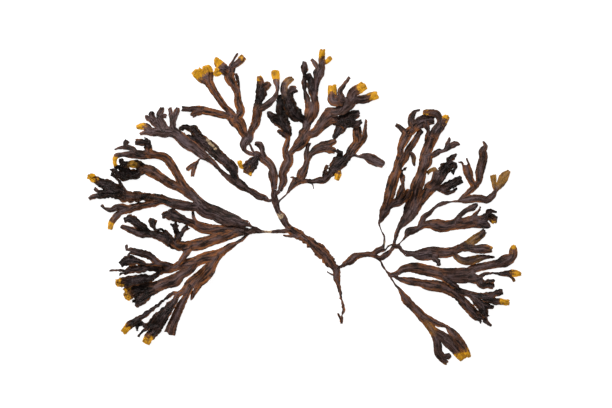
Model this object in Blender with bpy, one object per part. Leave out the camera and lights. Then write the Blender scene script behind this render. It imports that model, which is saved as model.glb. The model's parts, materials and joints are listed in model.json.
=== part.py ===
"""A dried fucus seaweed lying flat: a stipe that forks into fronds of ribbed, strap-shaped blades.

Each strap is a list of (x, y, width) points along its rib, in millimetres, seen from above.
The origin is the flat resting spot under the first fork; +X is to the right, +Y away from the
holdfast and +Z up. A strap's children fork from its end. Straps that cross are laid one over
another, so that each rests on what lies under it.
"""

import math

import bmesh
import bpy
import numpy as np

METRES = 0.001

# Sizes in millimetres
EDGE_THICKNESS = 0.62
RIB_THICKNESS_LEAST = 0.95
RIB_THICKNESS_MOST = 1.9
RIB_THICKNESS_START = 0.9
RIPE_SWELLING = 0.9
RIPE_LENGTH = 7.0
NARROWEST = 0.9
RESTING_RADIUS = 4.2

# The rib thickens by this much for each millimetre of the strap's width
RIB_GAIN = 0.14
# How much of the half width the rib takes, and how far it reaches in the web of a fork
RIB_SHARE = 0.42
RIB_REACH = 1.6

# Gaps in millimetres: over what a strap crosses, at a joint, at a notch and beside it
CLEARANCE = 0.5
JOINT_GAP = 0.5
NOTCH_GAP = 0.12
EDGE_GAP = 0.35

# How far apart the rows of a blade's mesh stand, and how much it may turn or bow between two
ROW_STEP = 11.0
ROW_TURN = 0.55
ROW_SAG = 0.2
WEB_STEP = 6.0
NARROW = 3.2

# How a blade that lies over another comes down again: a round crest, then an even slope
CREST = 0.04
SLOPE = 0.5
SETTLING = 2.0
LAYING_TURNS = 40
LAID = 0.02

# Where the straps are tried against each other
TRIAL_STEP = 1.6
TRIAL_SIDES = (-1.0, -0.5, 0.0, 0.5, 1.0)
TRIAL_ALONG = 1.5
TRIAL_ASIDE = 0.7
PAST_NOTCH = 2.0
LAYER_RANK = 1000

# Gentle waves that run through the whole plant, still at the resting spot
WAVE_HEIGHT = 0.45
WAVE_STILL = 10.0
# Over this length a strap's own tilt and frill begin at its fork and end at the next
HABIT_FADE = 7.0
MOST_RISE = 2.2
SEED = 7


def strap(path, *kids, **form):
    """One strap: its points, the straps that fork from its end, and what sets it apart."""
    return {"path": path, "kids": kids, "form": form}


# Left spray, upper frond
FAR_LEFT_RINGS = strap(
    [(-105.3, 53.2, 6.8), (-109.8, 56.9, 8.5)],
    strap(
        [(-117.1, 60.7, 6.1), (-124.2, 64, 7), (-132, 69, 7.3), (-139, 73.5, 8.6), (-144, 75.3, 7)],
        strap(
            [(-148.9, 71, 6.9), (-153.1, 70.9, 7.5)],
            strap([(-158, 70, 8.2), (-163, 72, 5), (-165.1, 76, 2.4)]),
            strap([(-157.5, 74.5, 5), (-165.8, 77.2, 2.8)]),
        ),
        strap([(-149, 79, 7.1), (-154, 78.2, 4.7), (-159.4, 79.8, 4.5), (-160.6, 82.8, 3.1)]),
    ),
    strap(
        [
            (-114.9, 63.6, 6.4), (-119.1, 71, 6.2), (-123.2, 77.9, 6.7), (-128, 83.6, 6.7),
            (-135.2, 85.4, 5.8), (-139.6, 86.2, 8.2),
        ],
        strap(
            [(-144.5, 85.2, 7), (-149, 85.7, 7.1)],
            strap(
                [
                    (-154, 85.5, 5.5), (-159, 85.4, 3.5), (-163, 84.6, 4.4), (-164.7, 80.8, 3.2),
                    (-164.1, 76.8, 3.1),
                ],
                ripe=1,
            ),
            strap(
                [(-152, 89.8, 4.5), (-156, 91.2, 4.1)],
                strap([(-157.5, 93.5, 4), (-155.8, 96.6, 4.2)]),
                strap([(-160.5, 91, 2.8), (-166.2, 89.6, 1.1)]),
            ),
        ),
        strap(
            [(-140.1, 91.5, 6), (-140.8, 94, 5.8)],
            strap([(-143.7, 98.3, 1.5)]),
            strap([(-145.4, 94.7, 5.4), (-150, 94.8, 5.1)]),
        ),
    ),
)
FAR_LEFT_CLUMP = strap(
    [(-108.1, 46.8, 7), (-115, 47.8, 8), (-122.2, 49.4, 7.4)],
    strap(
        [(-129, 50.1, 3.5), (-137, 48.8, 4.9), (-147.9, 47, 5.9), (-154.8, 45, 6.2)],
        strap([(-162, 42.3, 5), (-165.9, 38.1, 5.2), (-168.3, 35, 4.7), (-169.3, 29.4, 3.6)], ripe=0.8),
        strap([(-163, 46.6, 5.3), (-168, 44.4, 4.3), (-173.3, 45.6, 2.4), (-176.1, 48, 2.5)]),
    ),
    strap(
        [(-130.3, 51.8, 8.1), (-140.1, 54, 6.5), (-150.1, 54.1, 8.4), (-157.1, 54.6, 9.2)],
        strap([(-160, 61.5, 2.9), (-163, 66, 2.3), (-165.7, 69.5, 3.1), (-167.8, 75.5, 3.3)]),
        strap(
            [(-163.4, 57.7, 11.3)],
            strap([(-170, 62.5, 9.5), (-176.3, 64.7, 7.2), (-185.7, 70.6, 5.2)], ripe=1),
            strap(
                [(-171, 56.6, 7.5), (-177, 55.9, 6.8)],
                strap([(-181.4, 60.9, 2.9)]),
                strap([(-181.9, 54.3, 4.2), (-185.5, 52.3, 2.7)]),
            ),
        ),
    ),
)
LEFT_UPPER = strap(
    [
        (-70.2, 34.3, 6.7), (-76.2, 36.9, 8.7), (-83.4, 38.5, 11.4), (-90.1, 41.7, 11.4),
        (-97.3, 44, 11.6), (-102.2, 47.7, 11.1),
    ],
    FAR_LEFT_CLUMP,
    FAR_LEFT_RINGS,
    node="frond_left_upper",
)

# Left spray, middle frond
LEFT_MIDDLE = strap(
    [(-72, 28.6, 8)],
    strap(
        [
            (-79.8, 25.5, 7.3), (-87.8, 23.3, 8.7), (-94.7, 21.1, 8.5), (-101.8, 18.8, 9.6),
            (-109, 17.4, 8.2),
        ],
        strap([(-111.9, 12.1, 5.3), (-114.9, 7.7, 4.5), (-118.1, 3.3, 3.5)]),
        strap(
            [(-115, 17, 7.7), (-120.1, 18, 7.7)],
            strap(
                [(-125.5, 21.6, 7.5)],
                strap(
                    [(-132, 24.7, 7.6), (-139, 26.4, 5.5)],
                    strap([(-146, 26.4, 5.9), (-152, 28.6, 5.1), (-161.5, 32.6, 3.7)]),
                    strap([(-144, 31, 5.1), (-149.7, 35, 6.9), (-155, 37.7, 6.2), (-158.8, 36.4, 4.4)]),
                ),
                strap(
                    [
                        (-126.5, 26.7, 4.3), (-130, 29.3, 1.7), (-135, 29.8, 2.7), (-137.3, 34, 5.6),
                        (-136.5, 38, 6.6),
                    ],
                ),
            ),
            strap(
                [(-118, 24, 5.9)],
                strap([(-119.7, 29.2, 5.2), (-121.8, 35, 5.7)]),
                strap([(-114.5, 28.2, 3.7), (-110.6, 32.4, 4.9)]),
            ),
        ),
    ),
    strap(
        [
            (-80, 30.6, 5.5), (-88, 30.3, 5.7), (-95.1, 29.9, 8.3), (-101.3, 31.4, 8.2),
            (-105.4, 33.6, 7.1),
        ],
        strap(
            [(-112.2, 36.1, 6), (-118, 38.8, 7.5), (-122.7, 40.9, 9.6)],
            strap([(-126.4, 40.7, 6.4), (-130.6, 39.5, 4)]),
            strap([(-123.4, 45.4, 5.9)]),
        ),
        strap([(-106.7, 39, 2.6), (-107.2, 43.5, 2.3)]),
    ),
    node="frond_left_middle",
)

# Left spray, lower frond
LEFT_FINGERS = strap(
    [(-111, 4.2, 8), (-117, 3, 7.5), (-120.8, 1.1, 5.9)],
    strap(
        [(-125.5, -0.4, 5.5), (-130.1, -0.8, 5.8)],
        strap(
            [
                (-134.1, -4.4, 4.5), (-139, -6.5, 5.8), (-145.1, -7.6, 8.5), (-151, -8.6, 8.5),
                (-157.1, -9, 8.3), (-164.8, -10.4, 5),
            ],
            ripe=0.5,
        ),
        strap(
            [
                (-134.5, 0.4, 4.9), (-140, 1.5, 6.5), (-146, 0.4, 6.3), (-152, -0.1, 5.5),
                (-156.8, -2, 4),
            ],
            strap([(-160.9, -3.5, 1.8), (-161.8, -4.9, 1.3)]),
            strap([(-161.4, -0.6, 1.9), (-165.6, -0.6, 1.5), (-169.6, -1.3, 1.5)]),
        ),
    ),
    strap(
        [(-126, 3.6, 4.1), (-131.2, 4.4, 4.3)],
        strap(
            [
                (-135.6, 4, 2.3), (-140, 3.8, 1.4), (-144.6, 5.2, 3.7), (-150, 6.6, 6.5),
                (-155.9, 6.3, 7.5), (-160.7, 3, 4.5),
            ],
        ),
        strap(
            [(-135.7, 7.6, 5.3), (-140.1, 10.7, 5.6), (-146.1, 12.5, 5.8), (-152, 14.1, 4.9)],
            strap([(-155.5, 14.7, 2.4), (-156, 18.8, 1.8)]),
            strap([(-154.1, 11.7, 1.4), (-154.1, 9.4, 1.1)]),
        ),
    ),
)
LEFT_TWISTED_CLUMP = strap(
    [
        (-110.5, -1.4, 6.5), (-116.3, -4.5, 7.5), (-120.8, -8.5, 10.1), (-126.6, -10.2, 8.9),
        (-132.2, -12.4, 8.5), (-136.2, -14.2, 9.9),
    ],
    strap([(-141.8, -18.7, 8.1), (-146.3, -22.5, 9.8), (-151.5, -26.3, 7)]),
    strap([(-143, -14.2, 9.5), (-150, -16, 11.9), (-158.8, -19.5, 10.1)], ripe=0.5),
)
RUST_STRAP = strap(
    [
        (-91.2, 5.4, 6.1), (-95, -0.1, 10), (-99.4, -5.1, 11.1), (-104.4, -9.1, 11.2),
        (-107.8, -12.7, 12.2),
    ],
    strap([(-107.1, -19.1, 3.7), (-109, -23.7, 1.1)], tip=0.4),
    strap(
        [(-112.2, -16.6, 7.9)],
        strap(
            [
                (-113.1, -21.8, 4.8), (-116.7, -28, 6.6), (-119.4, -34.3, 6.8), (-122, -40.5, 7.2),
                (-125.1, -49.8, 9.1),
            ],
        ),
        strap(
            [(-118, -18.6, 4.7)],
            strap(
                [
                    (-120.3, -22.9, 4.3), (-123.6, -27.4, 6.9), (-127.8, -32.6, 9.2),
                    (-132.3, -38.1, 11.4), (-135.5, -42.9, 11.9),
                ],
                strap([(-138.5, -49.2, 8.1), (-143.1, -56.3, 5.7)], ripe=0.8),
                strap(
                    [(-140.6, -43.4, 5.1)],
                    strap([(-144.6, -46.4, 2.3), (-148.2, -51.1, 1.5)]),
                    strap([(-144.4, -40.6, 3.5), (-148.5, -42.3, 3.1), (-149, -46.7, 1.6)]),
                ),
            ),
            strap(
                [
                    (-121.9, -18, 3.3), (-126.2, -20.9, 2.5), (-131.1, -24.8, 2.4),
                    (-136.9, -29.6, 3.3), (-143.2, -34.2, 4), (-149.2, -38, 4.9), (-154.5, -41.9, 6.3),
                    (-160.1, -48.1, 4.4),
                ],
                ripe=0.8,
            ),
        ),
    ),
)
LEFT_LOWER = strap(
    [(-73.9, 20.1, 2.5), (-79.1, 17.2, 5.1), (-84.1, 13.9, 5.8), (-88.4, 10.9, 8.2)],
    strap([(-93.1, 9.3, 9.7), (-99.3, 8.1, 8.5), (-105.2, 5.5, 8.2)], LEFT_TWISTED_CLUMP, LEFT_FINGERS),
    RUST_STRAP,
    node="frond_left_lower",
)

# Upper left frond
FAN = strap(
    [(-100.9, 86.5, 7.3), (-106.1, 90.7, 7.8), (-111.9, 94.3, 9.1), (-117.6, 99.8, 8)],
    strap(
        [(-122.7, 102.4, 7.7), (-127.7, 102.9, 9.6)],
        strap(
            [(-133, 102.3, 6.2), (-138, 102.8, 6.7)],
            strap([(-143.2, 106.7, 5.8), (-149.7, 106.4, 3.3)], ripe=0.6),
            strap([(-142.5, 102.3, 3.5), (-147.2, 100.9, 2.3)]),
        ),
        strap(
            [(-131.4, 108, 8.9), (-134.2, 111.4, 10.5)],
            strap(
                [(-131.8, 115, 6.1)],
                strap([(-131.2, 118, 4.5), (-129.9, 121.6, 3)]),
                strap([(-128.5, 114.7, 4), (-126.6, 114.2, 2.9)]),
            ),
            strap(
                [(-138.2, 113, 6.1)],
                strap([(-141.5, 113.3, 4), (-142.6, 115.4, 1.5)]),
                strap([(-138.1, 117, 4.5), (-138, 118.3, 3.5)]),
            ),
        ),
    ),
    strap(
        [(-121.1, 104.5, 4.7), (-122, 110.5, 5.3), (-121.7, 115.2, 7.3)],
        strap([(-124.1, 118.6, 3.1), (-124.8, 120.9, 3.5)]),
        strap([(-119.1, 118.5, 4.2), (-118.4, 121.1, 2.6)]),
    ),
)
RAGGED_STRAP = strap(
    [
        (-76.4, 70.3, 6), (-77.1, 74.9, 7.9), (-81.8, 79.8, 8), (-87.6, 84.7, 8.2), (-92.8, 90.2, 9.3),
        (-99.1, 95.1, 9.4),
    ],
    strap([(-104, 96.6, 5.5), (-109, 98, 4.5), (-114.4, 101.3, 2.4)]),
    strap(
        [
            (-103.7, 100.3, 6), (-106.6, 104.4, 6.3), (-110.3, 105.8, 5.2), (-114, 106.2, 5),
            (-117.2, 104.1, 3.3),
        ],
    ),
)
UPPER_LEFT = strap(
    [(-58.1, 54.7, 5.7), (-62.1, 57.5, 5), (-66.2, 59.5, 4.3), (-70.5, 62.3, 7.3), (-74.4, 65.4, 7)],
    RAGGED_STRAP,
    strap(
        [(-79.2, 67.5, 5.1), (-84, 71.3, 3.7), (-88, 75.3, 2.8), (-92.1, 80, 4), (-96.7, 83.4, 5.6)],
        strap(
            [(-101.8, 82.3, 1), (-104.2, 79.9, 2.7)],
            strap([(-107.8, 77.6, 3.5), (-112.2, 73.9, 3.7)]),
            strap([(-106.2, 75.6, 3.1), (-107.9, 69, 3.1)]),
        ),
        FAN,
    ),
    node="frond_upper_left",
)

# Top left frond
AMBER_ARM = strap(
    [(-69.7, 103.1, 7.3), (-72.2, 108.6, 9.6), (-75.3, 111.5, 10.6)],
    strap(
        [(-78.7, 115, 8.1)],
        strap(
            [(-86.1, 115.7, 5.9), (-93, 117.6, 5.7), (-99.5, 118.8, 6.5)],
            strap([(-105.5, 117, 5.4), (-108.6, 114.4, 4)]),
            strap([(-104, 120, 4.8), (-109.5, 119.6, 4.2), (-115.6, 119.9, 4.2)], tip=0.8),
        ),
        strap(
            [(-83.3, 121.7, 5), (-87.9, 128.1, 5.3), (-92.3, 134.6, 5.8), (-95.4, 140.1, 7.1)],
            strap([(-100.3, 143.8, 8.7), (-105.7, 149.4, 8.1)], ripe=1, tip=0.8),
            strap([(-95.4, 146, 7.5), (-97.3, 152.7, 6.9)], ripe=1, tip=0.8),
        ),
    ),
    strap(
        [(-71.3, 117.9, 6.3), (-73.4, 124.9, 6), (-73.9, 131.9, 5)],
        strap(
            [(-76.5, 137.5, 5.9), (-79.6, 142.8, 8), (-80, 147, 8.5)],
            strap(
                [(-84.6, 149.9, 8.5)],
                strap([(-88.4, 147.3, 6.1), (-91.8, 147, 6.6)], ripe=0.8),
                strap([(-87.5, 153.5, 7.3), (-90.5, 158.4, 4.1)], ripe=1),
            ),
            strap(
                [(-78, 151.6, 5.5)],
                strap([(-77.2, 155.9, 1.9), (-73.6, 161.9, 1.5)]),
                strap([(-74, 153.8, 5.3), (-68.7, 159.4, 5.7)], ripe=0.4, tip=0.8),
            ),
        ),
        strap([(-72.8, 138, 1.5), (-73.8, 142.3, 2.9), (-75.4, 146.5, 2.9)], layer=1),
    ),
)
CUP_ARM = strap(
    [(-63.7, 102.8, 5.2), (-60.6, 108.8, 6.7), (-59.3, 114.3, 6.9), (-58.7, 119, 7.8)],
    strap(
        [(-57.7, 125.5, 6.6), (-56.1, 131, 8.4), (-56, 135.5, 7.9)],
        strap([(-56.7, 140.5, 5.7), (-58, 144.7, 3.4)], ripe=0.4),
        strap([(-52.1, 137.2, 6.7), (-49.6, 140, 4.5)], ripe=0.3),
    ),
    strap(
        [
            (-53.6, 121.4, 5.2), (-49.2, 124.8, 5.1), (-45.6, 129, 3.7), (-43.7, 134.5, 2.8),
            (-44.5, 139.9, 4.8), (-45.7, 149.2, 6.8),
        ],
        ripe=1,
        tip=0.9,
        layer=3,
    ),
)
TOP_LEFT = strap(
    [(-46.5, 64, 5.3), (-47, 70, 7.6), (-47.7, 75.5, 5.8), (-50.3, 79.3, 6.3), (-54.1, 82.4, 6.9)],
    strap(
        [(-58.1, 85.2, 6.3)],
        strap(
            [(-60.4, 82, 6.5), (-62.5, 79.2, 9.7)],
            strap([(-64.2, 75.3, 7.7), (-66.8, 70.5, 6.2)], ripe=0.3),
            strap([(-66.9, 78.3, 4.1), (-70.4, 76.6, 3.7), (-72.7, 81.7, 3.3)], ripe=1),
        ),
        strap(
            [(-61.2, 86.2, 4.3)],
            strap(
                [(-65.4, 87.1, 3.1), (-68.2, 88.9, 3.1), (-69.4, 92, 5.5), (-66.2, 98.2, 8.9)],
                AMBER_ARM,
                CUP_ARM,
            ),
            strap([(-62.8, 89.4, 1.8), (-63.7, 92, 1.8), (-65, 94, 1.4)], layer=1),
        ),
    ),
    strap([(-54.9, 87, 3.7), (-55.5, 90.3, 4.5), (-57.1, 93, 5.2), (-61.1, 94.3, 3.1)], layer=1),
    node="frond_top_left",
)

# Top centre frond
TWIN_BLADES = strap(
    [(-20.2, 112.6, 8.1), (-18.7, 116.9, 10.8), (-17.8, 120.5, 10.9), (-18.2, 124.4, 10.7)],
    strap(
        [
            (-21.8, 127.6, 4.7), (-23.3, 132.9, 2.7), (-23.7, 139, 4.3), (-23.9, 145, 2.5),
            (-23.6, 150, 5.7), (-23.7, 155.8, 3.3),
        ],
    ),
    strap(
        [(-16.4, 129.6, 5.7)],
        strap([(-18.7, 134.9, 5.9), (-19.2, 141, 5.5), (-21.7, 146.3, 5.2)]),
        strap(
            [(-14.7, 136.1, 4), (-14, 141.2, 5.1), (-13.1, 145.7, 8.7), (-12, 149.3, 7.3)],
            strap([(-15.4, 153.1, 3.6), (-18.5, 157.5, 2.5)]),
            strap(
                [(-10.7, 154.4, 5.1)],
                strap([(-10.7, 159.5, 4.8), (-10.1, 164.9, 4.2)], ripe=1, tip=0.8),
                strap([(-7.1, 155.3, 3.6), (-3.4, 159.1, 3.6)], ripe=0.6),
            ),
        ),
    ),
)
THREE_AMBER_TIPS = strap(
    [(-15.5, 102.5, 6.9), (-11.5, 107.4, 8.4), (-7.5, 111.5, 10.9), (-3.6, 115, 13.4)],
    strap(
        [(0.8, 110.6, 8), (5.2, 110.8, 12)],
        strap([(2.9, 105, 8.2), (0.2, 100.7, 5.2), (-2.2, 97.3, 3.4)]),
        strap(
            [(10.4, 112.2, 12)],
            strap([(14, 108.4, 6.5), (19.4, 110.8, 2.9)]),
            strap([(13.8, 115.4, 7.5), (17.9, 116.9, 4.7)]),
        ),
    ),
    strap(
        [(1.2, 117.5, 7.4), (5.2, 120.8, 10.1), (8.2, 123.2, 11.1)],
        strap(
            [(11.4, 126.4, 9.5)],
            strap(
                [(15.6, 126.6, 6.5), (20.1, 126.9, 6.7), (25.1, 128.6, 6.7), (31.4, 131, 6.8)],
                ripe=1,
                tip=0.8,
            ),
            strap([(13, 132.2, 7.6), (17.9, 135.3, 7.6), (21.9, 138.3, 7.6)], ripe=1, tip=0.8),
        ),
        strap(
            [(3.3, 126.3, 9.1)],
            strap([(-2.2, 125.6, 8.1), (-2.7, 131.4, 7.2), (-2.9, 138.2, 6.3)], ripe=1, tip=0.7),
            strap([(2.9, 132.5, 4.2), (5.9, 137.4, 3), (10.3, 143.8, 2.6)]),
        ),
    ),
)
DARK_BAND = strap(
    [(-26.4, 113, 6.5), (-29.4, 114.6, 11), (-32.3, 118.3, 9.1), (-34.5, 123, 9.7), (-35.8, 128, 7.8)],
    strap([(-38.8, 133.4, 5.9), (-38.3, 138.2, 5.5), (-35.5, 141.3, 5.4), (-31.8, 143, 3.4)]),
    strap([(-33.9, 133.3, 6.7), (-28.9, 134.9, 5.3)]),
)
TOP_CENTRE = strap(
    [
        (-41.1, 61.5, 4.4), (-39.3, 66, 6.2), (-40, 71, 6.4), (-38, 76.2, 7.5), (-35.6, 81.2, 7.6),
        (-36.3, 85.7, 7.7),
    ],
    strap(
        [(-38, 89.5, 4.7), (-36.7, 94, 4.3), (-36, 97.6, 3.3)],
        strap([(-39.4, 101, 4.4), (-41.9, 102.7, 4), (-44.6, 103.6, 1.8)], tip=0.4),
        strap(
            [(-35.7, 102.5, 5.6), (-37.8, 107, 8.5)],
            strap([(-43.4, 110.3, 6.3), (-47.8, 114, 6.7), (-51.7, 118.1, 2.5)], tip=0.4),
            strap([(-40.3, 112.4, 8.1), (-40.7, 118.5, 8.9), (-41.1, 124.5, 8.3), (-41.6, 131, 7.1)]),
        ),
    ),
    strap(
        [(-32.1, 89.1, 4.8), (-27.7, 93.2, 9.1), (-24.3, 97.7, 9.1), (-23.1, 100.7, 10.8)],
        THREE_AMBER_TIPS,
        strap([(-22.6, 105, 6.1), (-22, 108.6, 6.6)], DARK_BAND, TWIN_BLADES),
    ),
    node="frond_top_centre",
)

# Centre frond, on the most slender arm
HANGING_BLADE = strap(
    [(-17, 65.8, 3.4), (-13, 66.5, 5.1), (-9.5, 66.5, 5.4)],
    strap([(-8.9, 71.4, 2.9), (-7.5, 74.9, 3), (-6.5, 78.5, 2.4)], ripe=0.3),
    strap(
        [(-5.1, 70.5, 5.2), (-2, 74.6, 7.5)],
        strap([(1, 73, 5.1), (0.2, 66, 4.4)], ripe=0.7),
        strap(
            [(1.6, 78.9, 10.6), (5, 82.6, 9.5)],
            strap(
                [(9.9, 85.3, 6.2)],
                strap(
                    [
                        (12.4, 85.1, 2.7), (17, 84.3, 1.9), (21.4, 84.6, 5), (25.7, 82.7, 7.9),
                        (30.8, 80.1, 7.2), (36.2, 78, 5.7),
                    ],
                    tip=0.9,
                ),
                strap(
                    [(12.8, 90, 7.6), (16.2, 94.1, 7.5)],
                    strap([(16, 101, 7.4), (15.4, 107, 6.1)]),
                    strap([(20.7, 97.8, 5.1), (21.8, 104, 3), (22.6, 112.3, 1.6)]),
                ),
            ),
            strap([(3.1, 87.3, 4.3), (0, 89, 3.3)]),
        ),
    ),
)
CENTRE = strap(
    [(-37, 56.3, 1.2), (-34.9, 59.3, 3), (-32.7, 62.5, 4.9), (-30.2, 65.4, 6.6)],
    strap([(-31.9, 68.5, 1.6), (-34.4, 68.6, 1)]),
    strap(
        [(-26.8, 66.8, 6.6)],
        strap(
            [(-25.4, 71.5, 7.8), (-23.1, 76.2, 5.1), (-21.9, 80.8, 4.4)],
            strap([(-22.1, 86, 4.5), (-21.5, 90.5, 3.1), (-20.1, 95.4, 3.7)]),
            strap(
                [(-18.6, 86.1, 4.5), (-14.5, 89.6, 6.9), (-10.1, 91.5, 8.5)],
                strap([(-5, 94.1, 5.3), (0.7, 96.8, 3.6)]),
                strap([(-4, 89.3, 5.7), (0, 88.2, 4.7)]),
            ),
        ),
        strap(
            [(-21.5, 66, 3.5)],
            strap([(-18, 63.9, 1), (-16.7, 60.1, 1)]),
            HANGING_BLADE,
        ),
    ),
    node="frond_centre",
)

# Right side, first tall frond
TALL_FIRST = strap(
    [(34, 37.7, 4.3), (36, 42.7, 7.8)],
    strap(
        [(39.8, 46.8, 4.3), (43, 49, 6.1), (46.2, 50.6, 7.5)],
        strap([(50.1, 51.2, 4.1), (53, 54.8, 5.7), (55, 60.2, 4.8)]),
        strap(
            [
                (47.2, 55.2, 5.3), (48.8, 59.5, 5.5), (49.4, 63.8, 3.3), (49.1, 68.4, 4.3),
                (48.8, 72.4, 2.9), (53.1, 76.2, 1.7),
            ],
        ),
    ),
    strap(
        [
            (37.8, 49.3, 6.7), (39.7, 55.9, 8.1), (41.1, 62, 8.3), (42.9, 68, 8.3), (45.2, 73.9, 6.7),
            (47.1, 79.3, 7.7), (49.8, 83.7, 9.9),
        ],
        strap(
            [(53.5, 88, 5.2)],
            strap([(56.2, 87.2, 2.3), (58, 84, 4.1), (58.2, 79.9, 2.6), (58.8, 76.7, 1.6)], tip=0.4),
            strap([(57.3, 93.4, 5.1), (61, 99.5, 4.3), (64.5, 105, 4.3)], layer=-1),
        ),
        strap(
            [(48.3, 90.5, 5.5), (50.6, 95.9, 7.1), (53, 100.7, 7.7)],
            strap([(49.4, 104.6, 4.3), (44.5, 108.7, 2.8)]),
            strap(
                [(57.2, 105, 7.1)],
                strap([(62.7, 109.5, 9.2), (68.4, 111.8, 8.7), (74.5, 112.3, 7.5)], layer=-1),
                strap([(55.9, 110.5, 5.3), (57, 114.9, 4.8), (59.6, 118.3, 2.5), (63.2, 119.4, 1.5)]),
            ),
        ),
    ),
    node="frond_right_tall_first",
)

# Right side, second tall frond
DARK_SIDE = strap(
    [(61.4, 45.6, 4.1), (63.6, 49.5, 4.9), (66.4, 54.6, 7.1), (69.6, 59.8, 9.5)],
    strap(
        [(74.5, 60.8, 4.7), (79, 60.4, 6.5)],
        strap([(83, 57, 2.9), (87.2, 58.1, 2.8), (90.6, 61, 1.8)]),
        strap([(84.7, 63, 7.4), (89.8, 65.2, 7.2), (94.6, 67.5, 6.5)]),
    ),
    strap(
        [(74.3, 64.8, 8.3), (77, 70, 10.6)],
        strap([(74.6, 74.6, 3.3), (71.2, 74.2, 3.3), (67.9, 71.4, 2.9)]),
        strap(
            [(80.8, 74.6, 7.7), (84.1, 78.1, 7.3)],
            strap([(86.3, 83, 4.3), (90.9, 86.1, 1.1)]),
            strap([(88, 78.8, 4.9), (89.2, 75.5, 2.7), (85.8, 71.3, 3.7)]),
        ),
    ),
)
TALL_SECOND = strap(
    [(47.1, 30.5, 3.5), (50.3, 34.7, 6.4), (54, 39.6, 9.1), (56.1, 43.7, 11.9)],
    DARK_SIDE,
    strap(
        [
            (57.2, 51, 9.5), (59.3, 57, 9.5), (60.7, 63.1, 10.2), (63, 69, 8.3), (64.6, 75, 7.4),
            (66.9, 80.8, 10.4), (67.2, 84.9, 9.2),
        ],
        strap(
            [(73.4, 85.6, 4.7), (77, 88.2, 4.3), (80.4, 88.6, 2.6), (83, 90.3, 4.7), (84.9, 92.6, 7)],
            strap([(84.5, 96.1, 2.7), (85, 99.2, 1)], tip=0.4),
            strap([(89.4, 93.8, 4.6), (93.1, 93.2, 1.1)], tip=0.4),
        ),
        strap(
            [(68.3, 89.4, 7.9), (70.1, 94, 8.4), (71.3, 98.5, 10.5)],
            strap([(68.7, 103, 2.8), (67.5, 107, 4.4), (66.8, 111, 3.3)]),
            strap(
                [(75.1, 103.7, 7.9), (77.9, 106.9, 7.5)],
                strap(
                    [(77.6, 112.6, 5.3), (74.6, 116.2, 5.8), (70, 117.1, 5), (64.4, 117, 3.6)],
                    ripe=0.4,
                    layer=2,
                ),
                strap([(80.8, 111.4, 6.3), (84, 115.4, 4.5)], ripe=0.5),
            ),
        ),
    ),
    node="frond_right_tall_second",
)

# Right side, upper frond
FAR_RIGHT = strap(
    [
        (64, 35, 4.3), (66.1, 39.1, 4.3), (70.3, 42.2, 3.5), (74.2, 46.2, 2.3), (80, 49.2, 3.3),
        (86, 50.3, 1.5), (91, 50.9, 1.8),
    ],
    strap(
        [
            (96.5, 51.9, 5.7), (103, 52.8, 6.1), (108, 52.9, 6), (113.1, 51.8, 5.4), (117.1, 54.8, 5),
            (119.5, 58.6, 2.9),
        ],
        strap([(118.4, 63.6, 3.7), (117.7, 71.1, 5.2)]),
        strap([(123.5, 64.5, 6.3), (125.7, 68.9, 7.1), (129.8, 73.7, 3.4)]),
    ),
    strap(
        [(95, 53.8, 3.3), (100, 58.2, 4.3), (103.3, 61.2, 5)],
        strap(
            [(100.8, 66.8, 5.1), (98.8, 72.9, 7.1), (97.6, 77.1, 6.2)],
            strap([(94.4, 79.6, 1.8), (91.3, 80.2, 1.4)]),
            strap([(97.8, 83.3, 1.5)]),
        ),
        strap(
            [
                (107, 65.8, 4.7), (107.4, 71.9, 6.8), (108.9, 77.9, 7), (110.2, 84, 6.5),
                (109.9, 88.7, 6), (111.9, 92.6, 3.3), (109.6, 95.7, 1),
            ],
        ),
    ),
)
RIGHT_UPPER = strap(
    [(54.3, 27.8, 6.1), (58.6, 29.3, 5.7), (61.7, 30.4, 4.2)],
    strap(
        [
            (65.9, 32.8, 4.7), (70.5, 33.6, 7), (76, 32.7, 9.8), (81, 32.1, 9.1), (86.1, 32.9, 8.1),
            (89.2, 33.6, 8.5),
        ],
        strap([(93.4, 40.6, 3.7), (97.5, 44, 4.1), (102.4, 46.1, 5), (106.1, 49.1, 3.4)]),
        strap(
            [(96.5, 34.4, 8.9), (102, 35.7, 9.5)],
            strap([(104.3, 41.2, 2.8), (108.4, 46.8, 1.7)]),
            strap(
                [(108.3, 35.4, 9.3)],
                strap([(112.4, 32.8, 5.6), (115.2, 31.2, 2.4)]),
                strap(
                    [(112.8, 39.8, 6.5)],
                    strap([(117.3, 38.3, 6.3), (118.8, 33.8, 4)], ripe=0.3),
                    strap([(114.4, 43.2, 4.8), (120.5, 42.5, 1.6)]),
                ),
            ),
        ),
    ),
    FAR_RIGHT,
    node="frond_right_upper",
)

# Right side, flat frond
RIGHT_FLAT = strap(
    [(57.5, 11.4, 4.7), (62, 10.6, 8.2), (67, 11.2, 9.9), (71.5, 11.7, 10.6)],
    strap([(75, 7.2, 5.2), (76.3, 4.5, 2.8), (76.6, 2.2, 3)]),
    strap(
        [(77.5, 12.4, 8.3), (83.5, 12.3, 7.8), (87.5, 13.2, 7.3)],
        strap(
            [
                (90.7, 8.6, 4.5), (94.9, 6.4, 5.9), (101, 6.6, 6.7), (107, 8.2, 5.6), (113, 9.1, 3.3),
                (119, 8.9, 1.5),
            ],
        ),
        strap(
            [(93.4, 15.8, 6.2)],
            strap([(99, 15.3, 4.5), (105, 15, 6.5), (110.8, 15.4, 7.3), (116.9, 14.7, 4.5)], ripe=0.3),
            strap([(98.8, 19.1, 5.9), (104.3, 22.6, 7), (108.7, 25.8, 5.6), (111.7, 29.1, 4.5)]),
        ),
    ),
    node="frond_right_flat",
)

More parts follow.
